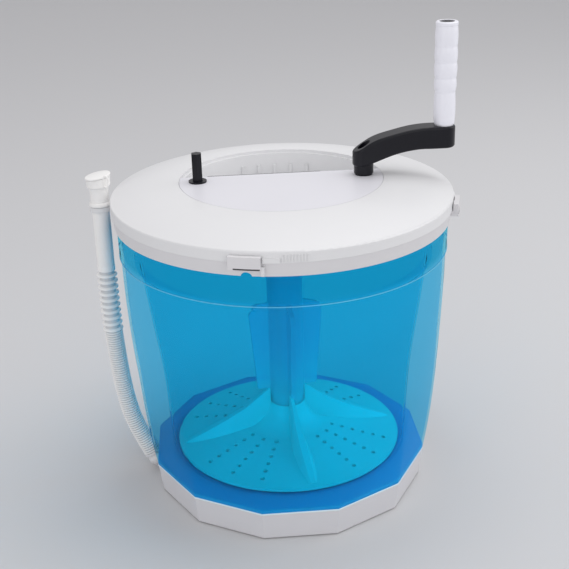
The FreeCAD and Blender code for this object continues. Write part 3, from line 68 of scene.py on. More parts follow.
# Radius and height of the stage's floor and of the sweep at its rim, and the stage's paint
STAGE_SWEEP = [(4.5, 0.0), (5.0, 0.05), (5.4, 0.18), (5.7, 0.42), (5.88, 0.75), (5.95, 1.2)]
STAGE_SIDES = 128
STAGE_COLOUR = (0.66, 0.66, 0.67, 1.0)
STAGE_CLOUD = 1.5
STAGE_GLOSS = (0.86, 0.94)
STAGE_SHINE = 0.1

# Route of the drain hose, from the barb in the base up to the nozzle
HOSE_ROUTE = [
    (-0.15465, 0.01190, 0.02114), (-0.17104, 0.01744, 0.05351), (-0.17965, 0.02035, 0.09001),
    (-0.18415, 0.02187, 0.13400), (-0.18759, 0.02303, 0.19001), (-0.18759, 0.02303, 0.24600),
]
HOSE_ORDER = 3
HOSE_STEPS = 24
HOSE_SIDES = 40
HOSE_ROOT_R = 7.7 * MM
HOSE_WALL = 1.0 * MM
FINE_CREST_R = 10.0 * MM
FINE_RIBS = 56
WIDE_CREST_R = 11.0 * MM
WIDE_RIBS = 10
WIDE_LENGTH = 70.0 * MM
CUFF_R = 9.4 * MM
CUFF_LENGTH = 6.5 * MM
CUFF_STEP = 0.65 * MM

# Outline of one rib of the hose: share of its pitch, share of its height
FINE_OUTLINE = [
    (0.13, 0.50), (0.24, 0.90), (0.36, 1.0), (0.48, 0.90), (0.59, 0.50), (0.72, 0.0), (1.0, 0.0),
]
WIDE_OUTLINE = [
    (0.06, 0.15), (0.13, 0.62), (0.22, 0.93), (0.31, 1.0), (0.40, 0.93), (0.49, 0.62),
    (0.56, 0.15), (0.62, 0.0), (1.0, 0.0),
]

# Attribute with each point's share of the rib height, and where the painted shade in the grooves
# fades out
RIB_HEIGHT = "rib_height"
GROOVE_SHADE_FADE = (0.0, 0.55)

# Nozzle at the hose's upper end. Each ring has a height and a radius in millimetres, and a lean
# towards the outside in degrees
NOZZLE_AT = Vector((-0.18759, 0.02303, 0.0))
NOZZLE_SIDES = 48
NOZZLE_WALL = 2.0 * MM
NOZZLE_RINGS = [
    (246.0, 9.15, 0.0), (280.0, 9.15, 0.0), (312.0, 9.0, 0.0), (312.4, 10.8, 0.0),
    (313.4, 11.5, 0.0), (315.0, 11.5, 0.0), (316.2, 10.8, 0.0), (316.8, 9.6, 0.0),
    (327.0, 9.7, 0.0), (331.0, 10.2, 1.0), (333.0, 11.0, 3.0), (333.8, 12.1, 4.0),
    (335.0, 12.4, 5.0), (336.0, 12.2, 6.0), (339.5, 12.6, 8.0), (342.6, 13.2, 10.0),
]

# Plug of the nozzle: its leaning cap, the hollow stem below it and the pull loop at its side
PLUG_R = 13.5 * MM
PLUG_T = 2.2 * MM
PLUG_EDGE = 0.77 * MM
PLUG_Z = 344.0 * MM
PLUG_LEAN = 10.0
STEM_R = 6.9 * MM
STEM_Z = (333.5 * MM, 343.5 * MM)
STEM_WALL = 1.6 * MM
STEM_HOLLOW = 7.0 * MM
LOOP_IN = 10.0 * MM
LOOP_SIDE = -9.5 * MM
LOOP_Z = 340.5 * MM
LOOP_R = 4.0 * MM
LOOP_WIRE_R = 0.9 * MM
LOOP_SIDES = 40
LOOP_WIRE_SIDES = 14
LOOP_STRETCH = (0.66, 1.0, 1.5)

# Slim ring on the tub's step where its upper band steps out, coloured pale as a painted highlight
# along the step
LEDGE_LINE_R = 169.4 * MM
LEDGE_LINE_Z = 270.0 * MM
LEDGE_LINE_H = 0.9 * MM
LEDGE_LINE_T = 0.7 * MM
LEDGE_LINE_EDGE = 0.315 * MM
LEDGE_LINE_SIDES = 240

# Twelve-sided ring over the sump, and the bead where the tub meets the base, coloured pale as a
# painted highlight along the joint
FACETS = 12
FACET_EDGE = 0.3 * MM
RING_LOW_R = 145.05 * MM
RING_HIGH_R = 145.6 * MM
RING_WIDTH = 28.0 * MM
RING_Z = 32.6 * MM
RING_H = 4.2 * MM
BEAD_R = 145.8 * MM
BEAD_T = 1.2 * MM
BEAD_Z = 31.6 * MM
BEAD_H = 1.6 * MM

# Dark strip under each of the three lid locks, painted as the shadow in the hollow beneath the
# hood, and the white cheek beside it. Angles are in degrees from the front
LOCK_SHADOW_FORM = {
    "radii": (180.5 * MM, 181.08 * MM), "heights": (310.5 * MM, 312.0 * MM),
    "angles": (-18.4, -10.6),
}
CHEEK_FORM = {
    "radii": (172.6 * MM, 177.4 * MM), "heights": (303.6 * MM, 312.4 * MM),
    "angles": (-10.6, -9.5),
}
LOCK_TURNS = {"right": 90.0, "back": 180.0}
LOCK_STEPS = 10
LOCK_EDGE = 0.2 * MM

# Dark strip behind the straight edge of the lid's cover, painted as the shadow in the gap there.
# Its drops count from the cover's top
COVER_SHADOW_X = (-75.0 * MM, 42.0 * MM)
COVER_SHADOW_Y = (15.9 * MM, 18.4 * MM)
COVER_SHADOW_DROP = (0.15 * MM, 2.2 * MM)
COVER_SHADOW_EDGE = 0.4 * MM

# Dished cap in the grip's end
CAP_R = 7.5 * MM
CAP_T = 2.6 * MM
CAP_DROP = 0.4 * MM
CAP_RIM = 1.9 * MM
CAP_DISH = 0.8 * MM
CAP_EDGE = 0.3 * MM
CAP_SIDES = 48

# Points nearer than this count as one, and a face this near to level counts as flat
SAME_PLACE = 0.01 * MM
FLAT_NORMAL = 0.9

# Angles in degrees up to which neighbouring faces shade as one
SMOOTH_NOZZLE = 32.0
SMOOTH_HOSE = 50.0
SMOOTH_LEDGE = 40.0
SMOOTH_FACETS = 25.0
SMOOTH_TRIM = 35.0
SMOOTH_STAGE = 40.0

# Skin of the moulded plastics
SKIN_SOCKETS = {
    "INPUT": {
        "Colour": "NodeSocketColor", "Grain": "NodeSocketFloat", "Flow": "NodeSocketFloat",
        "Tone": "NodeSocketFloat", "Gloss": "NodeSocketFloat", "Gloss Change": "NodeSocketFloat",
    },
    "OUTPUT": {
        "Colour": "NodeSocketColor", "Roughness": "NodeSocketFloat", "Height": "NodeSocketFloat",
    },
}
GRAIN_DETAIL = 3.0
FLOW_DETAIL = 4.0
FLOW_WAVER = 0.6
NOISE_MIDDLE = 0.5
BUMP_DEPTH = 0.3 * MM
EDGE_SAMPLES = 4

# See-through plastics, and the heights between which two of them go over to a deeper colour: on
# the tub this is painted shade under the lid, on the column a deeper tint towards the top
CLEAR_FLOW = 9.0
CLEAR_TONE = 0.04
CLEAR_GLOSS_CHANGE = 0.05
CLEAR_IOR = 1.005
COAT_ROUGHNESS = 0.06
# Heights of the tub's painted shade under the lid
TUB_SHADE_BAND_Z = (270.0 * MM, 276.0 * MM)
COLUMN_BAND_Z = (60.0 * MM, 165.0 * MM)

# Turned steel
STEEL_COLOUR = (0.62, 0.62, 0.64, 1.0)
STEEL_RINGS = 900.0
STEEL_WAVER = 2.0
STEEL_GLOSS = (0.24, 0.38)


# Steps that many pieces share

def deselect():
    bpy.ops.object.select_all(action="DESELECT")


def only(piece):
    """Makes one piece the active and only selected object."""
    deselect()
    piece.select_set(True)
    bpy.context.view_layer.objects.active = piece


def settle(name):
    """Names the new piece, and puts its place, turn and size into its mesh."""
    piece = bpy.context.object
    piece.name = name
    bpy.ops.object.transform_apply(location=True, rotation=True, scale=True)
    return piece


def edit_all():
    """Opens the active piece for editing, with everything selected."""
    bpy.ops.object.mode_set(mode="EDIT")
    bpy.ops.mesh.select_all(action="SELECT")


def edit_flat(piece, up):
    """Opens a piece for editing with only its flat top selected, or its underside if up is -1."""
    bpy.ops.object.mode_set(mode="EDIT")
    bpy.ops.mesh.select_mode(type="FACE")
    bpy.ops.mesh.select_all(action="DESELECT")
    bpy.ops.object.mode_set(mode="OBJECT")
    for face in piece.data.polygons:
        face.select = face.normal.z * up > FLAT_NORMAL
    bpy.ops.object.mode_set(mode="EDIT")


def end_edit():
    bpy.ops.object.mode_set(mode="OBJECT")


def align_faces(inside=False):
    """Turns all faces of the open piece outwards, or inwards if inside is true."""
    bpy.ops.mesh.select_all(action="SELECT")
    bpy.ops.mesh.normals_make_consistent(inside=inside)


def extrude(x, y, z):
    bpy.ops.mesh.extrude_region_move(TRANSFORM_OT_translate={"value": (x, y, z)})


def add_wall(piece, thickness, side, even=False):
    """Gives a sheet its thickness, inwards if side is -1 and outwards if it is 1."""
    wall = piece.modifiers.new("wall", "SOLIDIFY")
    wall.thickness = thickness
    wall.offset = side
    wall.use_even_offset = even


def add_rounding(piece, width, segments):
    rounded = piece.modifiers.new("rounded", "BEVEL")
    rounded.width = width
    rounded.segments = segments


def apply_all(piece):
    only(piece)
    for name in [m.name for m in piece.modifiers]:
        bpy.ops.object.modifier_apply(modifier=name)


def complete(piece, degrees, paint):
    """Applies the modifiers, shades the piece smooth up to an angle, and paints it."""
    apply_all(piece)
    bpy.ops.object.shade_smooth_by_angle(angle=math.radians(degrees))
    piece.data.materials.append(paint)


def join(main, *others):
    """Joins other pieces into the main one."""
    only(main)
    for piece in others:
        piece.select_set(True)
    bpy.ops.object.join()


# Materials

def maths(tree, operation, first, second):
    """Result of a math node on two values. Each is a socket or a plain number."""
    node = tree.nodes.new("ShaderNodeMath")
    node.operation = operation
    for place, value in zip(node.inputs, (first, second)):
        if isinstance(value, float):
            place.default_value = value
        else:
            tree.links.new(value, place)
    return node.outputs["Value"]


def object_place(tree):
    return tree.nodes.new("ShaderNodeTexCoord").outputs["Object"]


def moulded_skin_group():
    """Fine moulded grain, soft flow marks and a little uneven shine, from Object coordinates."""
    tree = bpy.data.node_groups.new("moulded_skin", "ShaderNodeTree")
    for in_out, sockets in SKIN_SOCKETS.items():
        for name, kind in sockets.items():
            tree.interface.new_socket(name=name, in_out=in_out, socket_type=kind)
    given = tree.nodes.new("NodeGroupInput")
    out = tree.nodes.new("NodeGroupOutput")
    where = object_place(tree)

    def noise(scale, detail):
        made = tree.nodes.new("ShaderNodeTexNoise")
        made.inputs["Detail"].default_value = detail
        tree.links.new(where, made.inputs["Vector"])
        tree.links.new(given.outputs[scale], made.inputs["Scale"])
        return made

    def centred(value, span):
        """A noise value between 0 and 1, spread evenly round zero."""
        off = maths(tree, "SUBTRACT", value, NOISE_MIDDLE)
        return maths(tree, "MULTIPLY", off, given.outputs[span])

    grain = noise("Grain", GRAIN_DETAIL)
    flow = noise("Flow", FLOW_DETAIL)
    flow.inputs["Distortion"].default_value = FLOW_WAVER
    tone = maths(tree, "ADD", centred(flow.outputs["Fac"], "Tone"), 1.0)
    tint = tree.nodes.new("ShaderNodeVectorMath")
    tint.operation = "SCALE"
    tree.links.new(given.outputs["Colour"], tint.inputs[0])
    tree.links.new(tone, tint.inputs["Scale"])
    uneven = centred(flow.outputs["Fac"], "Gloss Change")
    rough = maths(tree, "ADD", given.outputs["Gloss"], uneven)
    tree.links.new(tint.outputs["Vector"], out.inputs["Colour"])
    tree.links.new(rough, out.inputs["Roughness"])
    tree.links.new(grain.outputs["Fac"], out.inputs["Height"])
    return tree


MOULDED_SKIN = moulded_skin_group()


def new_material(name):
    made = bpy.data.materials.new(name)
    made.use_nodes = True
    shader = made.node_tree.nodes["Principled BSDF"]
    return made, made.node_tree, shader


def add_skin(tree, shader, colour, flow, tone, gloss, gloss_change):
    """Places the moulded skin in a material and links its colour and shine."""
    skin = tree.nodes.new("ShaderNodeGroup")
    skin.node_tree = MOULDED_SKIN
    skin.inputs["Colour"].default_value = (*colour, 1.0)
    skin.inputs["Flow"].default_value = flow
    skin.inputs["Tone"].default_value = tone
    skin.inputs["Gloss"].default_value = gloss
    skin.inputs["Gloss Change"].default_value = gloss_change
    tree.links.new(skin.outputs["Colour"], shader.inputs["Base Color"])
    tree.links.new(skin.outputs["Roughness"], shader.inputs["Roughness"])
    return skin


def blend_colours(tree, share, low, high):
    """A colour that goes from one tint to another as a value goes from 0 to 1."""
    mix = tree.nodes.new("ShaderNodeMix")
    mix.data_type = "RGBA"
    mix.inputs["A"].default_value = (*low, 1.0)
    mix.inputs["B"].default_value = (*high, 1.0)
    tree.links.new(share, mix.inputs["Factor"])
    return mix.outputs["Result"]


def stepped(tree, value, low, high):
    """A value spread smoothly from 0 at one level to 1 at another."""
    step = tree.nodes.new("ShaderNodeMapRange")
    step.interpolation_type = "SMOOTHSTEP"
    step.inputs["From Min"].default_value = low
    step.inputs["From Max"].default_value = high
    tree.links.new(value, step.inputs["Value"])
    return step.outputs["Result"]


def textured_gloss(tree, shader, texture, low, high):
    """Lets a texture in Object coordinates move the roughness between two levels."""
    tree.links.new(object_place(tree), texture.inputs["Vector"])
    shade = tree.nodes.new("ShaderNodeMapRange")
    shade.inputs["To Min"].default_value = low
    shade.inputs["To Max"].default_value = high
    tree.links.new(texture.outputs["Fac"], shade.inputs["Value"])
    tree.links.new(shade.outputs["Result"], shader.inputs["Roughness"])


def moulded(name, colour, grain=900.0, flow=14.0, tone=0.03, gloss=0.35, gloss_change=0.06,
            bump=0.02, edge=0.4 * MM, groove_shade=None, shine=0.5):
    """Moulded plastic: the grain as bump, soft edges, and a shine that changes a little.

    A groove shade colour is for ribbed pieces: painted shade in the low places between the ribs.
    """
    made, tree, shader = new_material(name)
    skin = add_skin(tree, shader, colour, flow, tone, gloss, gloss_change)
    skin.inputs["Grain"].default_value = grain
    shader.inputs["Specular IOR Level"].default_value = shine
    # Painted shade in the grooves, by rib height
    if groove_shade:
        height = tree.nodes.new("ShaderNodeAttribute")
        height.attribute_name = RIB_HEIGHT
        share = stepped(tree, height.outputs["Fac"], *GROOVE_SHADE_FADE)
        tree.links.new(blend_colours(tree, share, groove_shade, colour), skin.inputs["Colour"])
    raised = tree.nodes.new("ShaderNodeBump")
    raised.inputs["Strength"].default_value = bump
    raised.inputs["Distance"].default_value = BUMP_DEPTH
    tree.links.new(skin.outputs["Height"], raised.inputs["Height"])
    soft_edge = tree.nodes.new("ShaderNodeBevel")
    soft_edge.samples = EDGE_SAMPLES
    soft_edge.inputs["Radius"].default_value = edge
    tree.links.new(soft_edge.outputs["Normal"], raised.inputs["Normal"])
    tree.links.new(raised.outputs["Normal"], shader.inputs["Normal"])
    return made


def clear_plastic(name, tint, through, gloss, shadow_tint, coat, band=None, band_z=None):
    """See-through moulded plastic. Lamps reach what is behind it through a plain tinted film.

    Its surface stays even: a bump at a grazing view would throw the light back into the wall and
    darken it. A band colour darkens the upper part of a piece: on the tub it is painted shade
    under the lid, on the column a deeper tint towards the top.
    """
    made, tree, shader = new_material(name)
    skin = add_skin(tree, shader, tint, CLEAR_FLOW, CLEAR_TONE, gloss, CLEAR_GLOSS_CHANGE)
    # A band colour darkens the upper part: painted shade under the lid on the tub
    if band:
        split = tree.nodes.new("ShaderNodeSeparateXYZ")
        tree.links.new(object_place(tree), split.inputs["Vector"])
        above = stepped(tree, split.outputs["Z"], *band_z)
        tree.links.new(blend_colours(tree, above, tint, band), skin.inputs["Colour"])
    shader.inputs["Transmission Weight"].default_value = through
    shader.inputs["IOR"].default_value = CLEAR_IOR
    shader.inputs["Coat Weight"].default_value = coat
    shader.inputs["Coat Roughness"].default_value = COAT_ROUGHNESS
    film = tree.nodes.new("ShaderNodeBsdfTransparent")
    film.inputs["Color"].default_value = (*shadow_tint, 1.0)
    path = tree.nodes.new("ShaderNodeLightPath")
    mix = tree.nodes.new("ShaderNodeMixShader")
    tree.links.new(path.outputs["Is Shadow Ray"], mix.inputs["Fac"])
    tree.links.new(shader.outputs["BSDF"], mix.inputs[1])
    tree.links.new(film.outputs["BSDF"], mix.inputs[2])
    tree.links.new(mix.outputs["Shader"], tree.nodes["Material Output"].inputs["Surface"])
    return made


def turned_steel():
    made, tree, shader = new_material("turned_steel")
    rings = tree.nodes.new("ShaderNodeTexWave")
    rings.wave_type = "RINGS"
    rings.rings_direction = "Z"
    rings.inputs["Scale"].default_value = STEEL_RINGS
    rings.inputs["Distortion"].default_value = STEEL_WAVER
    textured_gloss(tree, shader, rings, *STEEL_GLOSS)
    shader.inputs["Base Color"].default_value = STEEL_COLOUR
    shader.inputs["Metallic"].default_value = 1.0
    return made


WHITE = moulded("white_shell_plastic", (0.80, 0.80, 0.81), grain=1100.0, gloss=0.42)
COVER_WHITE = moulded("top_cover_plastic", (0.785, 0.78, 0.825), grain=1100.0, gloss=0.40)
COLLAR_WHITE = moulded("collar_plastic", (0.735, 0.725, 0.74), grain=1100.0, gloss=0.42)
# Darker copy of the shell's white: painted shade on the base's sides, which face down and away
# from the light
BASE_SHADED_WHITE = moulded("base_shaded_plastic", (0.715, 0.71, 0.735), grain=1100.0, gloss=0.42)
GRIP_WHITE = moulded("grip_plastic", (0.90, 0.90, 0.965), grain=1400.0, gloss=0.30)
HOSE_WHITE = moulded(
    "hose_plastic_skin", (0.95, 0.94, 0.925), grain=700.0, gloss=0.38, tone=0.02)
# Grey grooves of the ribbed hose are painted shade between the ribs
HOSE_RIBBED = moulded(
    "hose_ribbed_plastic", (0.97, 0.965, 0.955), grain=700.0, gloss=0.38, tone=0.02, bump=0.01,
    edge=0.1 * MM, groove_shade=(0.66, 0.67, 0.685))
BLACK = moulded(
    "crank_plastic", (0.005, 0.005, 0.009), grain=1300.0, gloss=0.30, gloss_change=0.12, bump=0.04,
    shine=0.30)
# Grey of the strip that is painted shadow behind the lid's cover
COVER_SHADOW_GREY = moulded("cover_edge_shadow_paint", (0.13, 0.13, 0.14), grain=1500.0, gloss=0.60, bump=0.06)
# Near-black: painted shadow under the lock hoods, and the grip's end cap
SHADOW_STRIP_AND_CAP_DARK = moulded("lock_shadow_and_cap_dark", (0.045, 0.044, 0.048), grain=1500.0, gloss=0.60, bump=0.06)
GREY = moulded("case_plastic", (0.55, 0.57, 0.60), gloss=0.42)
NYLON = moulded("gear_nylon_skin", (0.80, 0.78, 0.70), gloss=0.45)
RUBBER = moulded("foot_rubber", (0.03, 0.03, 0.032), grain=1800.0, gloss=0.75, bump=0.12)
STEEL = turned_steel()
CLEAR_BLUE = clear_plastic(
    "clear_blue_plastic", (0.25, 0.905, 0.985), through=0.99, gloss=0.04,
    shadow_tint=(0.68, 0.95, 1.0), coat=0.0)
# The tub's deeper band above its ledge is painted shade from the lid
TUB_BLUE = clear_plastic(
    "tub_plastic", (0.335, 0.79, 0.985), through=0.99, gloss=0.04,
    shadow_tint=(0.68, 0.95, 1.0), coat=0.10, band=(0.07, 0.62, 0.83), band_z=TUB_SHADE_BAND_Z)
COLUMN_BLUE = clear_plastic(
    "column_plastic", (0.02, 0.95, 0.96), through=0.62, gloss=0.25,
    shadow_tint=(0.60, 0.94, 1.0), coat=0.0, band=(0.02, 0.745, 0.885), band_z=COLUMN_BAND_Z)
FLOOR_BLUE = moulded(
    "basket_floor_plastic", (0.012, 0.85, 0.81), grain=500.0, gloss=0.26, tone=0.05)
TRAY_BLUE = moulded("sump_tray_plastic", (0.002, 0.32, 0.64), grain=500.0, gloss=0.34, tone=0.05)
# Pale blue painted as the highlight along the tub's step
LEDGE_HIGHLIGHT_BLUE = moulded(
    "ledge_highlight_plastic", (0.13, 0.58, 0.82), grain=400.0, gloss=0.20, tone=0.04)
# Near-white blue painted as the highlight along the tub's foot
BEAD_HIGHLIGHT_BLUE = moulded("foot_highlight_bead_paint", (0.82, 0.93, 0.98), grain=400.0, gloss=0.22, tone=0.04)

SLOT_FINISHES = {
    "white_plastic": WHITE, "hose_plastic": HOSE_WHITE, "clear_blue": CLEAR_BLUE,
    "deep_blue": FLOOR_BLUE, "black_plastic": BLACK, "grey_plastic": GREY, "gear_nylon": NYLON,
    "rubber": RUBBER, "steel": STEEL,
}
NODE_FINISHES = {
    "crank_grip": GRIP_WHITE, "top_cover": COVER_WHITE, "wash_column": COLUMN_BLUE,
    "sump_tray": TRAY_BLUE, "tub_shell": TUB_BLUE, "base_plinth": BASE_SHADED_WHITE,
    "rim_collar": COLLAR_WHITE,
}
for node_name, node in NODES.items():
    packed = node.data.materials[0].name
    node.data.materials[0] = NODE_FINISHES.get(node_name, SLOT_FINISHES[packed])


# Drain nozzle with its plug

def lean(degrees, centre):
    """Tips what is selected towards the outside of the tub."""
    bpy.ops.transform.rotate(
        value=math.radians(degrees), orient_axis="Y", center_override=centre)


def on_nozzle(z):
    """The point of the nozzle's axis at a height."""
    return NOZZLE_AT + Vector((0.0, 0.0, z))


def make_nozzle():
    """A tube drawn up ring by ring, with a bead and a mouth that leans outwards."""
    low_z, low_r, _ = NOZZLE_RINGS[0]
    deselect()
    bpy.ops.mesh.primitive_circle_add(
        vertices=NOZZLE_SIDES, radius=low_r * MM, location=on_nozzle(low_z * MM))
    nozzle = settle("drain_nozzle")
    edit_all()
    for (z0, r0, lean0), (z1, r1, lean1) in zip(NOZZLE_RINGS, NOZZLE_RINGS[1:]):
        here = on_nozzle(z1 * MM)
        grow = r1 / r0
        extrude(0.0, 0.0, (z1 - z0) * MM)
        bpy.ops.transform.resize(value=(grow, grow, 1.0), center_override=here)
        if lean1 != lean0:
            lean(lean1 - lean0, here)
    align_faces()
    end_edit()
    add_wall(nozzle, NOZZLE_WALL, side=-1.0)
    complete(nozzle, SMOOTH_NOZZLE, HOSE_WHITE)
    return nozzle


def make_plug_cap():
    cap_at = on_nozzle(PLUG_Z)
    deselect()
    bpy.ops.mesh.primitive_cylinder_add(
        vertices=NOZZLE_SIDES, radius=PLUG_R, depth=PLUG_T, location=cap_at)
    cap = settle("nozzle_plug")
    edit_all()
    lean(PLUG_LEAN, cap_at)
    end_edit()
    add_rounding(cap, PLUG_EDGE, segments=3)
    apply_all(cap)
    return cap


def make_plug_stem():
    low, high = STEM_Z
    deselect()
    bpy.ops.mesh.primitive_cylinder_add(
        vertices=NOZZLE_SIDES, radius=STEM_R, depth=high - low,
        location=on_nozzle((low + high) / 2))
    stem = settle("plug_stem")
    edit_flat(stem, up=-1)
    bpy.ops.mesh.inset(thickness=STEM_WALL)
    extrude(0.0, 0.0, STEM_HOLLOW)
    end_edit()
    return stem


def make_plug_loop():
    inward = -NOZZLE_AT.normalized()
    along = Vector((-inward.y, inward.x, 0.0))
    loop_at = on_nozzle(LOOP_Z) + inward * LOOP_IN + along * LOOP_SIDE
    deselect()
    bpy.ops.mesh.primitive_torus_add(
        major_radius=LOOP_R, minor_radius=LOOP_WIRE_R, major_segments=LOOP_SIDES,
        minor_segments=LOOP_WIRE_SIDES, location=loop_at, rotation=(math.pi / 2, 0.0, 0.0))
    loop = settle("plug_loop")
    edit_all()
    bpy.ops.transform.resize(value=LOOP_STRETCH, center_override=loop_at)
    end_edit()
    return loop


def make_plug():
    """A thin leaning cap with a hollow stem below it and a pull loop at its side."""
    plug = make_plug_cap()
    join(plug, make_plug_stem(), make_plug_loop())
    complete(plug, SMOOTH_NOZZLE, HOSE_WHITE)
    return plug


nozzle = make_nozzle()
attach(nozzle, "tub")
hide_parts("hose_nozzle")
plug = make_plug()
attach(plug, "plug")
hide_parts("drain_plug")


# Drain hose

def hose_line():
    """The hose's centreline: one smooth spline held by the route's points."""
    data = bpy.data.curves.new("hose_line", "CURVE")
    data.dimensions = "3D"
    data.resolution_u = HOSE_STEPS
    spline = data.splines.new("NURBS")
    spline.points.add(len(HOSE_ROUTE) - 1)
    for point, at in zip(spline.points, HOSE_ROUTE):
        point.co = (*at, 1.0)
    spline.order_u = HOSE_ORDER
    spline.use_endpoint_u = True
    line = bpy.data.objects.new("hose_line", data)
    scene.collection.objects.link(line)
    return line


def line_points(line):
    bpy.context.view_layer.update()
    mesh = bpy.data.meshes.new_from_object(line)
    points = [v.co.copy() for v in mesh.vertices]
    bpy.data.meshes.remove(mesh)
    return points


def select_end(piece, x):
    """Selects the ring of points at one end of a tube that lies along X."""
    bpy.ops.mesh.select_all(action="DESELECT")
    bpy.ops.object.mode_set(mode="OBJECT")
    for v in piece.data.vertices:
        v.select = abs(v.co.x - x) < SAME_PLACE
    bpy.ops.object.mode_set(mode="EDIT")


def ribbed_length(name, start, pitch, ribs, crest, outline):
    """A run of corrugations along X: one rib is pulled out of a ring, then repeated."""
    deselect()
    bpy.ops.mesh.primitive_circle_add(
        vertices=HOSE_SIDES, radius=HOSE_ROOT_R, rotation=(0.0, math.pi / 2, 0.0))
    run = settle(name)
    bpy.ops.object.mode_set(mode="EDIT")
    bpy.ops.mesh.select_mode(type="VERT")
    here = 0.0
    radius = HOSE_ROOT_R
    for share, height in outline:
        select_end(run, here)
        wanted = HOSE_ROOT_R + (crest - HOSE_ROOT_R) * height
        step = pitch * share - here
        extrude(step, 0.0, 0.0)
        here += step
        grow = wanted / radius
        bpy.ops.transform.resize(value=(1.0, grow, grow), center_override=(here, 0.0, 0.0))
        radius = wanted
    end_edit()
    repeat = run.modifiers.new("ribs", "ARRAY")
    repeat.count = ribs
    repeat.use_relative_offset = False
    repeat.use_constant_offset = True
    repeat.constant_offset_displace = (pitch, 0.0, 0.0)
    repeat.use_merge_vertices = True
    repeat.merge_threshold = SAME_PLACE
    apply_all(run)
    run.location.x = start
    bpy.ops.object.transform_apply(location=True, rotation=False, scale=False)
    return run


def note_rib_heights(piece):
    """Writes each point's share of the rib height to an attribute, while the tube lies along X."""
    heights = piece.data.attributes.new(RIB_HEIGHT, "FLOAT", "POINT")
    for v, row in zip(piece.data.vertices, heights.data):
        row.value = (math.hypot(v.co.y, v.co.z) - HOSE_ROOT_R) / (FINE_CREST_R - HOSE_ROOT_R)


def make_hose():
    """Fine ribs, wide ribs and a cuff, made straight and then laid along the hose's line."""
    line = hose_line()
    points = line_points(line)
    length = sum((b - a).length for a, b in zip(points, points[1:]))
    cuff_at = length - CUFF_LENGTH
    fine_length = cuff_at - WIDE_LENGTH
    fine = ribbed_length(
        "hose_fine_ribs", 0.0, fine_length / FINE_RIBS, FINE_RIBS, FINE_CREST_R, FINE_OUTLINE)
    hose = ribbed_length(
        "drain_hose_ribbed", fine_length, WIDE_LENGTH / WIDE_RIBS, WIDE_RIBS, WIDE_CREST_R,
        WIDE_OUTLINE)
    join(hose, fine)
    edit_all()
    bpy.ops.mesh.remove_doubles(threshold=SAME_PLACE)
    select_end(hose, cuff_at)
    grow = CUFF_R / HOSE_ROOT_R
    extrude(CUFF_STEP, 0.0, 0.0)
    bpy.ops.transform.resize(value=(1.0, grow, grow), center_override=(cuff_at, 0.0, 0.0))
    extrude(CUFF_LENGTH - CUFF_STEP, 0.0, 0.0)
    align_faces()
    end_edit()
    note_rib_heights(hose)
    add_wall(hose, HOSE_WALL, side=-1.0)
    lie = hose.modifiers.new("lie", "CURVE")
    lie.object = line
    lie.deform_axis = "POS_X"
    complete(hose, SMOOTH_HOSE, HOSE_RIBBED)
    bpy.data.objects.remove(line)
    return hose, points


hose, hose_points = make_hose()
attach(hose, "tub")
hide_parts("drain_hose")


# Painted highlight along the tub's step at its ledge

def make_ledge_highlight_ring():
    deselect()
    bpy.ops.mesh.primitive_circle_add(
        vertices=LEDGE_LINE_SIDES, radius=LEDGE_LINE_R, location=(0.0, 0.0, LEDGE_LINE_Z))
    line = settle("tub_ledge_highlight_ring")
    edit_all()
    extrude(0.0, 0.0, LEDGE_LINE_H)
    align_faces()
    end_edit()
    add_wall(line, LEDGE_LINE_T, side=1.0)
    add_rounding(line, LEDGE_LINE_EDGE, segments=2)
    complete(line, SMOOTH_LEDGE, LEDGE_HIGHLIGHT_BLUE)
    return line


ledge_highlight_ring = make_ledge_highlight_ring()
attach(ledge_highlight_ring, "tub")


# Ring over the sump, and the bead at the tub's foot with its painted highlight

def facet_band(name, low_r, high_r, z, height, thickness, paint):
    """A band with the base's twelve flats, drawn up from a polygon and thickened inwards."""
    corner = low_r / math.cos(math.pi / FACETS)
    grow = high_r / low_r
    deselect()
    bpy.ops.mesh.primitive_circle_add(
        vertices=FACETS, radius=corner, location=(0.0, 0.0, z),
        rotation=(0.0, 0.0, math.pi / FACETS))
    band = settle(name)
    edit_all()
    extrude(0.0, 0.0, height)
    bpy.ops.transform.resize(value=(grow, grow, 1.0), center_override=(0.0, 0.0, z + height))
    align_faces()
    end_edit()
    add_wall(band, thickness, side=-1.0, even=True)
    add_rounding(band, FACET_EDGE, segments=2)
    complete(band, SMOOTH_FACETS, paint)
    return band


sump_ring = facet_band(
    "sump_ring", RING_LOW_R, RING_HIGH_R, RING_Z, RING_H, RING_WIDTH, TRAY_BLUE)
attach(sump_ring, "tub")
# The bead's pale colour is a painted highlight where the tub meets the base
foot_bead = facet_band("tub_foot_bead", BEAD_R, BEAD_R, BEAD_Z, BEAD_H, BEAD_T, BEAD_HIGHLIGHT_BLUE)
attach(foot_bead, "tub")


# Painted shadow strips and white cheeks of the three lid locks

def ring_piece(name, form, paint):
    """A short length of a ring: an upright rectangle spun round the tub's axis."""
    inner, outer = form["radii"]
    low, high = form["heights"]
    start, end = form["angles"]
    middle = (0.0, -(inner + outer) / 2, (low + high) / 2)
    deselect()
    bpy.ops.mesh.primitive_plane_add(
        size=1.0, location=middle, rotation=(0.0, math.pi / 2, 0.0))
    bpy.ops.object.transform_apply(location=False, rotation=True, scale=False)
    bpy.ops.transform.resize(value=(1.0, outer - inner, high - low), center_override=middle)
    piece = settle(name)
    edit_all()
    bpy.ops.mesh.spin(
        steps=LOCK_STEPS, angle=math.radians(start - end), center=(0.0, 0.0, 0.0),
        axis=(0.0, 0.0, 1.0))
    align_faces()
    end_edit()
    piece.rotation_euler.z = math.radians(start)
    bpy.ops.object.transform_apply(location=True, rotation=True, scale=True)
    add_rounding(piece, LOCK_EDGE, segments=2)
    complete(piece, SMOOTH_TRIM, paint)
    return piece


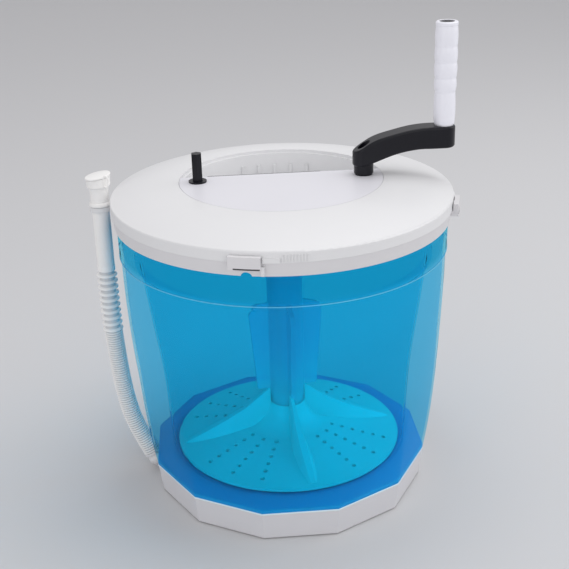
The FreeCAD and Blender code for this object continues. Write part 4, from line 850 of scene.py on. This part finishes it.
def turned_copy(piece, name, degrees):
    """A copy with a mesh of its own, turned round the tub's axis."""
    only(piece)
    bpy.ops.object.duplicate(linked=False)
    bpy.context.object.rotation_euler.z = math.radians(degrees)
    return settle(name)


def place_lock_trim(kind, form, paint):
    """Models the front lock's piece, and copies it to the other locks."""
    front = ring_piece(kind + "_front", form, paint)
    pieces = [front]
    for side, degrees in LOCK_TURNS.items():
        pieces.append(turned_copy(front, kind + "_" + side, degrees))
    for piece in pieces:
        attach(piece, "tub")


# The dark strip is painted shadow in the hollow under each hood
place_lock_trim("lock_shadow_strip", LOCK_SHADOW_FORM, SHADOW_STRIP_AND_CAP_DARK)
place_lock_trim("lock_cheek", CHEEK_FORM, WHITE)


# Painted shadow strip behind the lid's cover, and cap in the grip's end

def make_cover_shadow_strip():
    """A slim dark strip behind the cover's straight edge, just under its top, painted as the
    shadow in the gap there.
    """
    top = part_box("top_cover")[1].z
    low = Vector((COVER_SHADOW_X[0], COVER_SHADOW_Y[0], top - COVER_SHADOW_DROP[1]))
    high = Vector((COVER_SHADOW_X[1], COVER_SHADOW_Y[1], top - COVER_SHADOW_DROP[0]))
    deselect()
    bpy.ops.mesh.primitive_cube_add(size=1.0, location=(low + high) / 2)
    bpy.context.object.scale = high - low
    seam = settle("cover_shadow_strip")
    add_rounding(seam, COVER_SHADOW_EDGE, segments=3)
    complete(seam, SMOOTH_TRIM, COVER_SHADOW_GREY)
    return seam


def make_grip_cap():
    """A dished cap over the pin's head, sunk a little into the grip's end."""
    pin_low, pin_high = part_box("grip_pin")
    middle = (pin_low + pin_high) / 2
    middle.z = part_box("crank_grip")[1].z - CAP_DROP - CAP_T / 2
    deselect()
    bpy.ops.mesh.primitive_cylinder_add(
        vertices=CAP_SIDES, radius=CAP_R, depth=CAP_T, location=middle)
    cap = settle("grip_end_cap")
    edit_flat(cap, up=1)
    bpy.ops.mesh.inset(thickness=CAP_RIM)
    bpy.ops.transform.translate(value=(0.0, 0.0, -CAP_DISH))
    end_edit()
    add_rounding(cap, CAP_EDGE, segments=2)
    complete(cap, SMOOTH_TRIM, SHADOW_STRIP_AND_CAP_DARK)
    return cap


cover_shadow_strip = make_cover_shadow_strip()
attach(cover_shadow_strip, "lid")
grip_cap = make_grip_cap()
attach(grip_cap, "grip")


# Stage, light and camera

def stage_paint():
    made, tree, shader = new_material("pale_stage_paint")
    cloud = tree.nodes.new("ShaderNodeTexNoise")
    cloud.inputs["Scale"].default_value = STAGE_CLOUD
    textured_gloss(tree, shader, cloud, *STAGE_GLOSS)
    shader.inputs["Base Color"].default_value = STAGE_COLOUR
    shader.inputs["Specular IOR Level"].default_value = STAGE_SHINE
    return made


def make_stage():
    """A round pale floor whose far rim sweeps up, so that no edge shows from any side."""
    deselect()
    bpy.ops.mesh.primitive_circle_add(
        vertices=STAGE_SIDES, radius=STAGE_SWEEP[0][0], fill_type="NGON")
    stage = settle("pale_stage")
    bpy.ops.object.mode_set(mode="EDIT")
    bpy.ops.mesh.select_mode(type="EDGE")
    bpy.ops.mesh.select_all(action="SELECT")
    bpy.ops.mesh.region_to_loop()
    for (r0, z0), (r1, z1) in zip(STAGE_SWEEP, STAGE_SWEEP[1:]):
        grow = r1 / r0
        extrude(0.0, 0.0, z1 - z0)
        bpy.ops.transform.resize(value=(grow, grow, 1.0), center_override=(0.0, 0.0, z1))
    align_faces(inside=True)
    end_edit()
    complete(stage, SMOOTH_STAGE, stage_paint())


def make_lamp(name, energy, size, place, target):
    data = bpy.data.lights.new(name, "AREA")
    data.energy = energy
    data.shape = "RECTANGLE"
    data.size, data.size_y = size
    lamp = bpy.data.objects.new(name, data)
    scene.collection.objects.link(lamp)
    lamp.location = place
    lamp.rotation_euler = (Vector(target) - Vector(place)).to_track_quat("-Z", "Y").to_euler()


def make_world():
    world = bpy.data.worlds.new("studio")
    world.use_nodes = True
    back = world.node_tree.nodes["Background"]
    back.inputs["Color"].default_value = WORLD_COLOUR
    back.inputs["Strength"].default_value = WORLD_STRENGTH
    scene.world = world


def make_camera():
    data = bpy.data.cameras.new("camera")
    data.lens = LENS_MM
    data.sensor_width = SENSOR_MM
    camera = bpy.data.objects.new("camera", data)
    scene.collection.objects.link(camera)
    turn = Matrix((EYE_RIGHT, EYE_UP, EYE_BACK)).transposed().to_4x4()
    camera.matrix_world = Matrix.Translation(EYE) @ turn
    scene.camera = camera


make_stage()
make_world()
for lamp_name, lamp_values in LAMPS.items():
    make_lamp(lamp_name, *lamp_values)
make_camera()
scene.view_settings.view_transform = "Standard"
